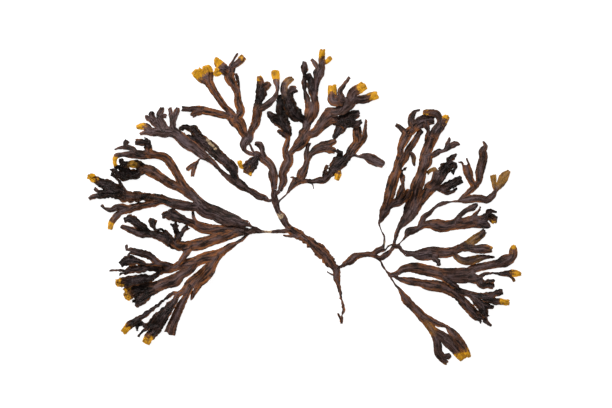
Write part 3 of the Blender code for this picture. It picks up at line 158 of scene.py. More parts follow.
aim = camera.location.copy()
aim.z = 0
for name, (place, power, size) in LAMPS.items():
    light = bpy.data.lights.new(name, "AREA")
    light.energy = power
    light.size = size
    lamp = add_object(name, light)
    lamp.location = place
    lamp.rotation_euler = (aim - lamp.location).to_track_quat("-Z", "Y").to_euler()
    print(name, power, "W")
world = bpy.data.worlds.new("studio")
world.use_nodes = True
world.node_tree.nodes["Background"].inputs["Color"].default_value = SKY
world.node_tree.nodes["Background"].inputs["Strength"].default_value = SKY_STRENGTH
bpy.context.scene.world = world

# %% [markdown]
# ## The plant, written as an outline
# Every strap of the plant is a short list of points along its rib, each with its x, its y and
# the strap's width in millimetres, seen from above. The plant could be drawn as a tangle of
# curves by hand, but a written outline keeps what grows from what. A line is one strap, and it
# grows from the end of the strap above it that stands one space further out. A line that ends
# in a comma goes on below, and a line that is a name takes in the outline of that name.
#
# After the bar stands what sets a strap apart. `ripe` swells a tip and turns it amber, `tip`
# makes it pointed, and `layer` settles what lies on top. `rust`, `dark` and `amber` are shares of
# a colour, one more key gives the share of a painted sheen, a greyish-blue highlight on the rib,
# and `torn` tears the edges.

# %% Reading an outline
OUTLINES = {}


def read_strap(line):
    """One line: its points, parted by commas, and after a bar what sets the strap apart."""
    points, _, rest = line.partition("|")
    form = dict(pair.split() for pair in rest.split(",") if pair)
    return {
        "path": [tuple(float(number) for number in point.split()) for point in points.split(",")],
        "form": {word: float(value) for word, value in form.items()},
        "kids": [],
    }


def outline(name, text):
    """Keeps the strap of the first line under this name, with all that grows from it. Where a
    solid of the frame has the same name, the strap is where that frond begins."""
    stem = []
    lines = text.strip("\n").replace(",\n", ",").split("\n")
    for line in lines:
        depth = len(line) - len(line.lstrip())
        word = line.strip()
        stem[depth:] = [OUTLINES[word] if word in OUTLINES else read_strap(word)]
        if depth:
            stem[depth - 1]["kids"].append(stem[depth])
    if name in frame["nodes"]:
        stem[0]["form"]["node"] = name
    OUTLINES[name] = stem[0]
    print(name, len(lines), "lines")


# %% [markdown]
# The left spray leaves a thread-like arm. Its upper frond is the broadest, and runs out into
# two clumps of narrow, curling tips. The middle one ends in small dark blades. A clump could be
# written into its frond, but as an outline of its own it is easier to read and to move.

# %% Left spray
outline("far_left_rings", """
-105.3 53.2 6.8, -109.8 56.9 8.5
 -117.1 60.7 6.1, -124.2 64 7, -132 69 7.3, -139 73.5 8.6, -144 75.3 7 | rust 0.7
  -148.9 71 6.9, -153.1 70.9 7.5 | dark 1
   -158 70 8.2, -163 72 5, -165.1 76 2.4 | dark 1
   -157.5 74.5 5, -165.8 77.2 2.8 | dark 1
  -149 79 7.1, -154 78.2 4.7, -159.4 79.8 4.5, -160.6 82.8 3.1 | dark 1, amber 1
 -114.9 63.6 6.4, -119.1 71 6.2, -123.2 77.9 6.7, -128 83.6 6.7, -135.2 85.4 5.8,
   -139.6 86.2 8.2 | rust 1
  -144.5 85.2 7, -149 85.7 7.1
   -154 85.5 5.5, -159 85.4 3.5, -163 84.6 4.4, -164.7 80.8 3.2, -164.1 76.8 3.1 | ripe 1
   -152 89.8 4.5, -156 91.2 4.1
    -157.5 93.5 4, -155.8 96.6 4.2
    -160.5 91 2.8, -166.2 89.6 1.1
  -140.1 91.5 6, -140.8 94 5.8 | dark 0.7
   -143.7 98.3 1.5 | dark 0.7
   -145.4 94.7 5.4, -150 94.8 5.1 | dark 0.4
""")
outline("far_left_clump", """
-108.1 46.8 7, -115 47.8 8, -122.2 49.4 7.4
 -129 50.1 3.5, -137 48.8 4.9, -147.9 47 5.9, -154.8 45 6.2 | rust 0.5, dark 0.3
  -162 42.3 5, -165.9 38.1 5.2, -168.3 35 4.7, -169.3 29.4 3.6 | ripe 0.8
  -163 46.6 5.3, -168 44.4 4.3, -173.3 45.6 2.4, -176.1 48 2.5 | dark 0.3
 -130.3 51.8 8.1, -140.1 54 6.5, -150.1 54.1 8.4, -157.1 54.6 9.2 | rust 0.3, dark 0.9
  -160 61.5 2.9, -163 66 2.3, -165.7 69.5 3.1, -167.8 75.5 3.3 | dark 1
  -163.4 57.7 11.3 | dark 1
   -170 62.5 9.5, -176.3 64.7 7.2, -185.7 70.6 5.2 | ripe 1, dark 0.9
   -171 56.6 7.5, -177 55.9 6.8 | dark 1
    -181.4 60.9 2.9
    -181.9 54.3 4.2, -185.5 52.3 2.7
""")
outline("frond_left_upper", """
-70.2 34.3 6.7, -76.2 36.9 8.7, -83.4 38.5 11.4, -90.1 41.7 11.4, -97.3 44 11.6,
  -102.2 47.7 11.1 | grey 0.5
 far_left_clump
 far_left_rings
""")
outline("frond_left_middle", """
-72 28.6 8
 -79.8 25.5 7.3, -87.8 23.3 8.7, -94.7 21.1 8.5, -101.8 18.8 9.6, -109 17.4 8.2 | rust 1
  -111.9 12.1 5.3, -114.9 7.7 4.5, -118.1 3.3 3.5 | rust 0.7
  -115 17 7.7, -120.1 18 7.7 | rust 0.8, dark 0.5
   -125.5 21.6 7.5 | dark 1
    -132 24.7 7.6, -139 26.4 5.5 | dark 0.4
     -146 26.4 5.9, -152 28.6 5.1, -161.5 32.6 3.7 | dark 0.3
     -144 31 5.1, -149.7 35 6.9, -155 37.7 6.2, -158.8 36.4 4.4 | dark 0.8
    -126.5 26.7 4.3, -130 29.3 1.7, -135 29.8 2.7, -137.3 34 5.6, -136.5 38 6.6 | dark 0.8
   -118 24 5.9 | dark 0.7
    -119.7 29.2 5.2, -121.8 35 5.7 | dark 1
    -114.5 28.2 3.7, -110.6 32.4 4.9 | dark 0.4
 -80 30.6 5.5, -88 30.3 5.7, -95.1 29.9 8.3, -101.3 31.4 8.2, -105.4 33.6 7.1 | rust 0.7
  -112.2 36.1 6, -118 38.8 7.5, -122.7 40.9 9.6 | dark 0.4
   -126.4 40.7 6.4, -130.6 39.5 4 | dark 0.5
   -123.4 45.4 5.9 | dark 1
  -106.7 39 2.6, -107.2 43.5 2.3 | grey 0.3
""")

# %% [markdown]
# The lower left frond fans out like fingers. One of its straps is thin enough for the light to
# turn it rust-coloured, with a torn spike beside its next fork. The torn edges of the mesh come
# later and are too fine for the spike, so it is a short strap with a pointed tip.

# %% Lower left frond
outline("left_fingers", """
-111 4.2 8, -117 3 7.5, -120.8 1.1 5.9 | rust 0.7
 -125.5 -0.4 5.5, -130.1 -0.8 5.8 | rust 0.4
  -134.1 -4.4 4.5, -139 -6.5 5.8, -145.1 -7.6 8.5, -151 -8.6 8.5, -157.1 -9 8.3,
    -164.8 -10.4 5 | ripe 0.5, dark 1
  -134.5 0.4 4.9, -140 1.5 6.5, -146 0.4 6.3, -152 -0.1 5.5, -156.8 -2 4 | dark 0.8
   -160.9 -3.5 1.8, -161.8 -4.9 1.3 | dark 0.5
   -161.4 -0.6 1.9, -165.6 -0.6 1.5, -169.6 -1.3 1.5
 -126 3.6 4.1, -131.2 4.4 4.3
  -135.6 4 2.3, -140 3.8 1.4, -144.6 5.2 3.7, -150 6.6 6.5, -155.9 6.3 7.5, -160.7 3 4.5 | dark 0.7
  -135.7 7.6 5.3, -140.1 10.7 5.6, -146.1 12.5 5.8, -152 14.1 4.9 | dark 0.3
   -155.5 14.7 2.4, -156 18.8 1.8 | dark 0.5
   -154.1 11.7 1.4, -154.1 9.4 1.1 | dark 1
""")
outline("left_twisted_clump", """
-110.5 -1.4 6.5, -116.3 -4.5 7.5, -120.8 -8.5 10.1, -126.6 -10.2 8.9, -132.2 -12.4 8.5,
  -136.2 -14.2 9.9 | rust 0.4
 -141.8 -18.7 8.1, -146.3 -22.5 9.8, -151.5 -26.3 7 | dark 0.8
 -143 -14.2 9.5, -150 -16 11.9, -158.8 -19.5 10.1 | ripe 0.5, dark 1
""")
outline("rust_strap", """
-91.2 5.4 6.1, -95 -0.1 10, -99.4 -5.1 11.1, -104.4 -9.1 11.2, -107.8 -12.7 12.2 | rust 1
 -107.1 -19.1 3.7, -109 -23.7 1.1 | tip 0.4, rust 1
 -112.2 -16.6 7.9 | rust 1
  -113.1 -21.8 4.8, -116.7 -28 6.6, -119.4 -34.3 6.8, -122 -40.5 7.2, -125.1 -49.8 9.1 | rust 0.3
  -118 -18.6 4.7 | rust 0.9
   -120.3 -22.9 4.3, -123.6 -27.4 6.9, -127.8 -32.6 9.2, -132.3 -38.1 11.4,
     -135.5 -42.9 11.9 | dark 0.7
    -138.5 -49.2 8.1, -143.1 -56.3 5.7 | ripe 0.8, dark 0.7
    -140.6 -43.4 5.1 | dark 1
     -144.6 -46.4 2.3, -148.2 -51.1 1.5 | dark 0.4
     -144.4 -40.6 3.5, -148.5 -42.3 3.1, -149 -46.7 1.6 | dark 0.6
   -121.9 -18 3.3, -126.2 -20.9 2.5, -131.1 -24.8 2.4, -136.9 -29.6 3.3, -143.2 -34.2 4,
     -149.2 -38 4.9, -154.5 -41.9 6.3, -160.1 -48.1 4.4 | ripe 0.8, dark 0.5
""")
outline("frond_left_lower", """
-73.9 20.1 2.5, -79.1 17.2 5.1, -84.1 13.9 5.8, -88.4 10.9 8.2 | rust 1
 -93.1 9.3 9.7, -99.3 8.1 8.5, -105.2 5.5 8.2 | rust 1
  left_twisted_clump
  left_fingers
 rust_strap
""")

# %% [markdown]
# One frond to the upper left ends in a fan, with a ragged strap lying along it. The next rises
# from a small ring to three long arms, two of which end in broad amber cups. An outline only
# forks and can't close a ring, so the ring is a fork whose arms meet again, one on the other.

# %% Upper left fronds
outline("fan", """
-100.9 86.5 7.3, -106.1 90.7 7.8, -111.9 94.3 9.1, -117.6 99.8 8 | grey 0.8
 -122.7 102.4 7.7, -127.7 102.9 9.6 | grey 1
  -133 102.3 6.2, -138 102.8 6.7 | grey 0.8
   -143.2 106.7 5.8, -149.7 106.4 3.3 | ripe 0.6, grey 0.3
   -142.5 102.3 3.5, -147.2 100.9 2.3
  -131.4 108 8.9, -134.2 111.4 10.5 | grey 1
   -131.8 115 6.1 | grey 0.7
    -131.2 118 4.5, -129.9 121.6 3
    -128.5 114.7 4, -126.6 114.2 2.9 | grey 0.5
   -138.2 113 6.1 | grey 0.9
    -141.5 113.3 4, -142.6 115.4 1.5 | dark 0.3
    -138.1 117 4.5, -138 118.3 3.5 | dark 0.4
 -121.1 104.5 4.7, -122 110.5 5.3, -121.7 115.2 7.3 | grey 0.9
  -124.1 118.6 3.1, -124.8 120.9 3.5
  -119.1 118.5 4.2, -118.4 121.1 2.6
""")
outline("ragged_strap", """
-76.4 70.3 6, -77.1 74.9 7.9, -81.8 79.8 8, -87.6 84.7 8.2, -92.8 90.2 9.3,
  -99.1 95.1 9.4 | dark 0.3
 -104 96.6 5.5, -109 98 4.5, -114.4 101.3 2.4 | dark 1
 -103.7 100.3 6, -106.6 104.4 6.3, -110.3 105.8 5.2, -114 106.2 5, -117.2 104.1 3.3 | dark 1
""")
outline("frond_upper_left", """
-58.1 54.7 5.7, -62.1 57.5 5, -66.2 59.5 4.3, -70.5 62.3 7.3, -74.4 65.4 7
 ragged_strap
 -79.2 67.5 5.1, -84 71.3 3.7, -88 75.3 2.8, -92.1 80 4, -96.7 83.4 5.6
  -101.8 82.3 1, -104.2 79.9 2.7
   -107.8 77.6 3.5, -112.2 73.9 3.7 | rust 1
   -106.2 75.6 3.1, -107.9 69 3.1 | rust 0.6
  fan
""")
outline("amber_arm", """
-69.7 103.1 7.3, -72.2 108.6 9.6, -75.3 111.5 10.6 | rust 1
 -78.7 115 8.1 | rust 1
  -86.1 115.7 5.9, -93 117.6 5.7, -99.5 118.8 6.5 | rust 1
   -105.5 117 5.4, -108.6 114.4 4 | rust 0.4, dark 0.5
   -104 120 4.8, -109.5 119.6 4.2, -115.6 119.9 4.2
  -83.3 121.7 5, -87.9 128.1 5.3, -92.3 134.6 5.8, -95.4 140.1 7.1 | rust 1
   -100.3 143.8 8.7, -105.7 149.4 8.1 | ripe 1, grey 0.7
   -95.4 146 7.5, -97.3 152.7 6.9 | ripe 1, grey 0.7
 -71.3 117.9 6.3, -73.4 124.9 6, -73.9 131.9 5 | rust 1
  -76.5 137.5 5.9, -79.6 142.8 8, -80 147 8.5 | rust 0.9
   -84.6 149.9 8.5 | grey 0.7
    -88.4 147.3 6.1, -91.8 147 6.6 | ripe 0.8, grey 0.5
    -87.5 153.5 7.3, -90.5 158.4 4.1 | ripe 1
   -78 151.6 5.5 | grey 0.5
    -77.2 155.9 1.9, -73.6 161.9 1.5
    -74 153.8 5.3, -68.7 159.4 5.7 | ripe 0.4
  -72.8 138 1.5, -73.8 142.3 2.9, -75.4 146.5 2.9 | layer 1, rust 0.5
""")
outline("cup_arm", """
-63.7 102.8 5.2, -60.6 108.8 6.7, -59.3 114.3 6.9, -58.7 119 7.8 | rust 0.6
 -57.7 125.5 6.6, -56.1 131 8.4, -56 135.5 7.9 | dark 0.7
  -56.7 140.5 5.7, -58 144.7 3.4 | ripe 0.4, rust 0.5
  -52.1 137.2 6.7, -49.6 140 4.5 | ripe 0.3, dark 0.3
 -53.6 121.4 5.2, -49.2 124.8 5.1, -45.6 129 3.7, -43.7 134.5 2.8, -44.5 139.9 4.8,
   -45.7 149.2 6.8 | ripe 1, layer 3, grey 0.6
""")
outline("frond_top_left", """
-46.5 64 5.3, -47 70 7.6, -47.7 75.5 5.8, -50.3 79.3 6.3, -54.1 82.4 6.9 | rust 0.3
 -58.1 85.2 6.3 | dark 0.3
  -60.4 82 6.5, -62.5 79.2 9.7 | dark 0.9
   -64.2 75.3 7.7, -66.8 70.5 6.2 | ripe 0.3, dark 0.8
   -66.9 78.3 4.1, -70.4 76.6 3.7, -72.7 81.7 3.3 | ripe 1, dark 0.5
  -61.2 86.2 4.3 | grey 0.7
   -65.4 87.1 3.1, -68.2 88.9 3.1, -69.4 92 5.5, -66.2 98.2 8.9 | grey 0.9
    amber_arm
    cup_arm
   -62.8 89.4 1.8, -63.7 92 1.8, -65 94 1.4 | layer 1, grey 1
 -54.9 87 3.7, -55.5 90.3 4.5, -57.1 93 5.2, -61.1 94.3 3.1 | layer 1, grey 0.6
""")

# %% [markdown]
# The tall frond at the top has the ripest tips. The one in the centre hangs on the most slender
# arm of all, and its blades turn back on themselves. Such a turn needs no tool of its own: the
# curve bends as sharply as the points ask.

# %% Top and centre fronds
outline("twin_blades", """
-20.2 112.6 8.1, -18.7 116.9 10.8, -17.8 120.5 10.9, -18.2 124.4 10.7 | rust 0.7
 -21.8 127.6 4.7, -23.3 132.9 2.7, -23.7 139 4.3, -23.9 145 2.5, -23.6 150 5.7,
   -23.7 155.8 3.3 | dark 0.3
 -16.4 129.6 5.7
  -18.7 134.9 5.9, -19.2 141 5.5, -21.7 146.3 5.2 | dark 0.6
  -14.7 136.1 4, -14 141.2 5.1, -13.1 145.7 8.7, -12 149.3 7.3 | grey 0.3
   -15.4 153.1 3.6, -18.5 157.5 2.5
   -10.7 154.4 5.1
    -10.7 159.5 4.8, -10.1 164.9 4.2 | ripe 1
    -7.1 155.3 3.6, -3.4 159.1 3.6 | ripe 0.6
""")
outline("three_amber_tips", """
-15.5 102.5 6.9, -11.5 107.4 8.4, -7.5 111.5 10.9, -3.6 115 13.4 | rust 0.5
 0.8 110.6 8, 5.2 110.8 12 | dark 0.7
  2.9 105 8.2, 0.2 100.7 5.2, -2.2 97.3 3.4 | dark 0.3
  10.4 112.2 12 | dark 0.9
   14 108.4 6.5, 19.4 110.8 2.9
   13.8 115.4 7.5, 17.9 116.9 4.7 | grey 0.4
 1.2 117.5 7.4, 5.2 120.8 10.1, 8.2 123.2 11.1
  11.4 126.4 9.5
   15.6 126.6 6.5, 20.1 126.9 6.7, 25.1 128.6 6.7, 31.4 131 6.8 | ripe 1
   13 132.2 7.6, 17.9 135.3 7.6, 21.9 138.3 7.6 | ripe 1
  3.3 126.3 9.1 | rust 0.3
   -2.2 125.6 8.1, -2.7 131.4 7.2, -2.9 138.2 6.3 | ripe 1, rust 0.5, grey 0.4
   2.9 132.5 4.2, 5.9 137.4 3, 10.3 143.8 2.6 | rust 0.3
""")
outline("dark_band", """
-26.4 113 6.5, -29.4 114.6 11, -32.3 118.3 9.1, -34.5 123 9.7, -35.8 128 7.8 | dark 1
 -38.8 133.4 5.9, -38.3 138.2 5.5, -35.5 141.3 5.4, -31.8 143 3.4 | grey 0.7, amber 0.5
 -33.9 133.3 6.7, -28.9 134.9 5.3 | grey 0.9
""")
outline("frond_top_centre", """
-41.1 61.5 4.4, -39.3 66 6.2, -40 71 6.4, -38 76.2 7.5, -35.6 81.2 7.6, -36.3 85.7 7.7 | rust 0.4
 -38 89.5 4.7, -36.7 94 4.3, -36 97.6 3.3 | rust 1
  -39.4 101 4.4, -41.9 102.7 4, -44.6 103.6 1.8 | tip 0.4, dark 0.5
  -35.7 102.5 5.6, -37.8 107 8.5 | dark 0.9
   -43.4 110.3 6.3, -47.8 114 6.7, -51.7 118.1 2.5 | tip 0.4, dark 0.7
   -40.3 112.4 8.1, -40.7 118.5 8.9, -41.1 124.5 8.3, -41.6 131 7.1 | dark 0.8
 -32.1 89.1 4.8, -27.7 93.2 9.1, -24.3 97.7 9.1, -23.1 100.7 10.8 | rust 0.6
  three_amber_tips
  -22.6 105 6.1, -22 108.6 6.6 | grey 0.8
   dark_band
   twin_blades
""")
outline("hanging_blade", """
-17 65.8 3.4, -13 66.5 5.1, -9.5 66.5 5.4
 -8.9 71.4 2.9, -7.5 74.9 3, -6.5 78.5 2.4 | ripe 0.3, dark 0.9
 -5.1 70.5 5.2, -2 74.6 7.5 | dark 0.6
  1 73 5.1, 0.2 66 4.4 | ripe 0.7
  1.6 78.9 10.6, 5 82.6 9.5 | dark 0.9
   9.9 85.3 6.2 | dark 0.5
    12.4 85.1 2.7, 17 84.3 1.9, 21.4 84.6 5, 25.7 82.7 7.9, 30.8 80.1 7.2, 36.2 78 5.7 | grey 0.5
    12.8 90 7.6, 16.2 94.1 7.5 | rust 1
     16 101 7.4, 15.4 107 6.1 | rust 0.8
     20.7 97.8 5.1, 21.8 104 3, 22.6 112.3 1.6 | rust 0.5
   3.1 87.3 4.3, 0 89 3.3 | dark 0.7
""")
outline("frond_centre", """
-37 56.3 1.2, -34.9 59.3 3, -32.7 62.5 4.9, -30.2 65.4 6.6 | rust 0.5
 -31.9 68.5 1.6, -34.4 68.6 1 | rust 0.6
 -26.8 66.8 6.6 | rust 0.7
  -25.4 71.5 7.8, -23.1 76.2 5.1, -21.9 80.8 4.4 | rust 0.5
   -22.1 86 4.5, -21.5 90.5 3.1, -20.1 95.4 3.7
   -18.6 86.1 4.5, -14.5 89.6 6.9, -10.1 91.5 8.5 | rust 0.3
    -5 94.1 5.3, 0.7 96.8 3.6 | rust 0.9
    -4 89.3 5.7, 0 88.2 4.7 | rust 0.7, dark 0.3
  -21.5 66 3.5 | rust 0.3
   -18 63.9 1, -16.7 60.1 1
   hanging_blade
""")

# %% [markdown]
# Two tall fronds stand side by side on the right. The bands at their tops cross, so the order in
# which they lie is written down here. Where no layer is given, the later strap lies on top.

# %% Tall fronds on the right
outline("frond_right_tall_first", """
34 37.7 4.3, 36 42.7 7.8
 39.8 46.8 4.3, 43 49 6.1, 46.2 50.6 7.5
  50.1 51.2 4.1, 53 54.8 5.7, 55 60.2 4.8 | rust 0.7
  47.2 55.2 5.3, 48.8 59.5 5.5, 49.4 63.8 3.3, 49.1 68.4 4.3, 48.8 72.4 2.9,
    53.1 76.2 1.7 | rust 0.5, dark 0.7
 37.8 49.3 6.7, 39.7 55.9 8.1, 41.1 62 8.3, 42.9 68 8.3, 45.2 73.9 6.7, 47.1 79.3 7.7,
   49.8 83.7 9.9 | rust 1
  53.5 88 5.2 | rust 0.4
   56.2 87.2 2.3, 58 84 4.1, 58.2 79.9 2.6, 58.8 76.7 1.6 | tip 0.4, amber 0.4
   57.3 93.4 5.1, 61 99.5 4.3, 64.5 105 4.3 | layer -1, rust 0.4
  48.3 90.5 5.5, 50.6 95.9 7.1, 53 100.7 7.7 | rust 0.8
   49.4 104.6 4.3, 44.5 108.7 2.8 | amber 0.5
   57.2 105 7.1 | rust 1
    62.7 109.5 9.2, 68.4 111.8 8.7, 74.5 112.3 7.5 | layer -1, grey 0.6
    55.9 110.5 5.3, 57 114.9 4.8, 59.6 118.3 2.5, 63.2 119.4 1.5
""")
outline("dark_side", """
61.4 45.6 4.1, 63.6 49.5 4.9, 66.4 54.6 7.1, 69.6 59.8 9.5 | rust 0.9
 74.5 60.8 4.7, 79 60.4 6.5
  83 57 2.9, 87.2 58.1 2.8, 90.6 61 1.8 | dark 0.4
  84.7 63 7.4, 89.8 65.2 7.2, 94.6 67.5 6.5 | dark 0.8
 74.3 64.8 8.3, 77 70 10.6
  74.6 74.6 3.3, 71.2 74.2 3.3, 67.9 71.4 2.9 | amber 0.6
  80.8 74.6 7.7, 84.1 78.1 7.3 | dark 1
   86.3 83 4.3, 90.9 86.1 1.1 | dark 1
   88 78.8 4.9, 89.2 75.5 2.7, 85.8 71.3 3.7 | dark 1
""")
outline("frond_right_tall_second", """
47.1 30.5 3.5, 50.3 34.7 6.4, 54 39.6 9.1, 56.1 43.7 11.9
 dark_side
 57.2 51 9.5, 59.3 57 9.5, 60.7 63.1 10.2, 63 69 8.3, 64.6 75 7.4, 66.9 80.8 10.4,
   67.2 84.9 9.2 | rust 0.5
  73.4 85.6 4.7, 77 88.2 4.3, 80.4 88.6 2.6, 83 90.3 4.7, 84.9 92.6 7 | grey 0.4
   84.5 96.1 2.7, 85 99.2 1 | tip 0.4
   89.4 93.8 4.6, 93.1 93.2 1.1 | tip 0.4
  68.3 89.4 7.9, 70.1 94 8.4, 71.3 98.5 10.5 | rust 0.7
   68.7 103 2.8, 67.5 107 4.4, 66.8 111 3.3 | grey 0.5
   75.1 103.7 7.9, 77.9 106.9 7.5 | grey 0.5
    77.6 112.6 5.3, 74.6 116.2 5.8, 70 117.1 5, 64.4 117 3.6 | ripe 0.4, layer 2
    80.8 111.4 6.3, 84 115.4 4.5 | ripe 0.5
""")

# %% [markdown]
# Five more fronds spread to the right and down: an upper one that ends in two olive blades, a
# flat one, two lower ones whose straps reach furthest, and one at the bottom that hangs by a
# thread. They are written from the top down, as the eye finds them.

# %% Right fronds
outline("far_right", """
64 35 4.3, 66.1 39.1 4.3, 70.3 42.2 3.5, 74.2 46.2 2.3, 80 49.2 3.3, 86 50.3 1.5, 91 50.9 1.8
 96.5 51.9 5.7, 103 52.8 6.1, 108 52.9 6, 113.1 51.8 5.4, 117.1 54.8 5, 119.5 58.6 2.9
  118.4 63.6 3.7, 117.7 71.1 5.2 | amber 0.8
  123.5 64.5 6.3, 125.7 68.9 7.1, 129.8 73.7 3.4 | amber 0.7
 95 53.8 3.3, 100 58.2 4.3, 103.3 61.2 5 | rust 0.7
  100.8 66.8 5.1, 98.8 72.9 7.1, 97.6 77.1 6.2 | rust 0.6
   94.4 79.6 1.8, 91.3 80.2 1.4 | dark 0.6
   97.8 83.3 1.5 | rust 0.4
  107 65.8 4.7, 107.4 71.9 6.8, 108.9 77.9 7, 110.2 84 6.5, 109.9 88.7 6, 111.9 92.6 3.3,
    109.6 95.7 1 | rust 0.3
""")
outline("frond_right_upper", """
54.3 27.8 6.1, 58.6 29.3 5.7, 61.7 30.4 4.2
 65.9 32.8 4.7, 70.5 33.6 7, 76 32.7 9.8, 81 32.1 9.1, 86.1 32.9 8.1, 89.2 33.6 8.5 | rust 0.5
  93.4 40.6 3.7, 97.5 44 4.1, 102.4 46.1 5, 106.1 49.1 3.4
  96.5 34.4 8.9, 102 35.7 9.5 | rust 0.4
   104.3 41.2 2.8, 108.4 46.8 1.7 | dark 0.5
   108.3 35.4 9.3 | dark 0.4
    112.4 32.8 5.6, 115.2 31.2 2.4 | dark 0.5
    112.8 39.8 6.5 | dark 1
     117.3 38.3 6.3, 118.8 33.8 4 | ripe 0.3, dark 1
     114.4 43.2 4.8, 120.5 42.5 1.6 | dark 1
 far_right
""")
outline("frond_right_flat", """
57.5 11.4 4.7, 62 10.6 8.2, 67 11.2 9.9, 71.5 11.7 10.6 | grey 0.4
 75 7.2 5.2, 76.3 4.5 2.8, 76.6 2.2 3 | dark 0.5
 77.5 12.4 8.3, 83.5 12.3 7.8, 87.5 13.2 7.3 | rust 0.3
  90.7 8.6 4.5, 94.9 6.4 5.9, 101 6.6 6.7, 107 8.2 5.6, 113 9.1 3.3, 119 8.9 1.5 | amber 0.3
  93.4 15.8 6.2 | rust 0.4
   99 15.3 4.5, 105 15 6.5, 110.8 15.4 7.3, 116.9 14.7 4.5 | ripe 0.3
   98.8 19.1 5.9, 104.3 22.6 7, 108.7 25.8 5.6, 111.7 29.1 4.5 | amber 0.5
""")
outline("frond_right_lower_first", """
50.1 -0.1 5.7, 55 1 7.1, 61 0.7 8.5, 66.9 -0.8 8.6, 73 -2.1 8.7, 79 -3.6 8.9 | rust 0.5
 83.5 -8 5.9, 88 -11.8 4.5, 91.6 -13.7 2.5 | layer 1, dark 0.6
 84 -3.8 10, 90 -4.8 11.7, 95 -4.9 12, 98.6 -4.6 11.6
  102.9 -6.8 7.5, 106 -7.2 6.3 | dark 0.4
   108.3 -10.7 7.1 | dark 0.3
    113.4 -11.9 4.9, 118 -13.1 4.7 | dark 0.3
    112.6 -8.4 2.7, 115.6 -8.6 3.1, 118 -7.6 2.5 | dark 0.7
   110.9 -3.7 3.2, 118 -3.1 1.6, 124 -3.5 3.3, 128.6 -3.2 5.4 | dark 0.4
    133 -3 5.8, 138.7 -3.7 3.1 | ripe 0.9
    131.5 -6.3 2.3, 133.9 -9.6 2.4 | amber 0.3
  103.9 0.4 6.7, 108.3 1.5 6.2, 114 2.7 6, 120.6 4 6.7, 126.5 6.1 9.4, 131.8 9.3 6.7, 132.8 14.5 6,
    132.7 18.4 3.5 | ripe 0.5
""")
outline("frond_right_lower_second", """
51.1 -8.3 4.9, 57.1 -9.3 6.5, 63.1 -10.4 6, 69 -11.9 8.2, 75 -12.6 8.6, 81 -13.8 8.7,
  85.9 -15.5 9.2 | rust 0.5
 91.5 -20.5 6.4, 96.4 -25.8 7.3, 101.2 -30.8 7.7, 104.5 -34.3 7.6 | rust 0.3, dark 0.3
  109.4 -39.7 3.1 | dark 0.8
  110 -36.2 4.7, 112.3 -39.5 4.2, 116.8 -42.3 1.5 | dark 0.6
 93 -16.7 5.5, 99.9 -18.7 4.8
  103.6 -22 6.1, 107.4 -25 8.5 | dark 0.4
   109.4 -30 6.9, 112.4 -36.3 4.8 | dark 1
   113.2 -27 5.5, 117.8 -29 4.1 | dark 0.9
  106.4 -20.2 5.6, 111.9 -20.8 7.3 | dark 0.5
   117.5 -23.8 5.5, 124 -24.2 4.9, 130 -25.3 5.1 | ripe 1, dark 0.4
   118.3 -18.2 4.7, 124.9 -16.9 4.7 | dark 0.4
""")
outline("frond_bottom_right", """
47.5 -15.1 2.7, 49.9 -19 4.5, 52.6 -23.2 7, 56.6 -27.3 6.1, 60.6 -31.3 6.6,
  64.8 -35.8 7.3 | rust 0.5
 68.9 -40.9 6.4, 72.6 -46.1 6.5 | rust 1, amber 0.3
  74.9 -52 5.8, 76.2 -57.6 6.5, 76.8 -62.7 6.6, 79.8 -66.7 6.5
   83.6 -70.7 4.2 | amber 0.3
   84 -65.4 5.1, 86.2 -64.2 4
  78.4 -49.2 6.5, 83.2 -53.2 9.1, 88.2 -57.6 9.5, 92.4 -62.8 8.5, 95.8 -67.6 6.5 | ripe 0.8
 70.4 -37.8 4.8, 76.4 -41 4.5, 82.4 -42.9 2.9, 86.9 -47.7 6.3, 91.3 -53 7, 94.9 -58.2 6.3,
   99.9 -65.7 3 | ripe 0.6, layer 1, rust 0.4
""")

# %% [markdown]
# The stipe starts at the torn holdfast, forks at the resting spot, and carries every frond on its
# slender arms. On a living plant it is nearly round, and a tube would do for it. Dried, it is as
# flat as the straps, so it is written as they are, and takes in the fronds by their names.

# %% Stipe and its arms
outline("left_hub", """
-38.6 28.4 3.4, -45 28.2 2.8, -51 27.9 1.8, -56 28.2 2.8, -60 29.2 5
 -64.8 28.2 4.4
  -67.3 25 1.9, -69.8 22.7 3
   frond_left_lower
  -69 28.4 6.8
   frond_left_middle
 -62.9 31.9 1.6, -66 33.8 4.5
  frond_left_upper
""")
outline("upper_hub", """
-37.3 33.6 5, -40.1 38.8 6, -43.6 43.8 4, -44.9 48.2 5.2 | grey 0.3
 -42.5 50.9 1.3, -40 53.4 1.7 | grey 0.5
  frond_centre
 -46 52 5.5 | grey 0.6
  -50.1 51.3 2.8, -53 53 4.7
   frond_upper_left
  -46.4 55.4 4.9 | grey 0.3
   -42.2 58.6 3.1
    frond_top_centre
   -46.3 59.6 4
    frond_top_left
""")
outline("left_axis", """
-2.2 2 6.6, -4.8 5.5 8.5, -7.9 10.1 8.2, -12 13.5 9.3, -17.1 17.9 7.6, -22.2 22.1 6.3,
  -26.5 25.2 7.2 | rust 0.6, torn 1
 -32.5 24.6 2.5, -36.5 24.8 1.8, -40 25.4 1.2 | tip 0.4, rust 1
 -31 27.6 7.1, -34.7 29.6 6.2 | rust 0.6
  left_hub
  upper_hub
""")
outline("right_hub", """
33.8 8.3 4, 37.5 10.8 4.6, 40.6 13.3 2.9, 42.9 16.4 3.3
 46.8 17.2 3.6
  49.6 13.8 2.8, 52.6 11.9 4.6
   frond_right_flat
  49.6 21.3 1.1, 52.3 24.5 2.6
   frond_right_upper
 44.1 21.5 2.5, 45.3 26 3.4
  frond_right_tall_second
""")
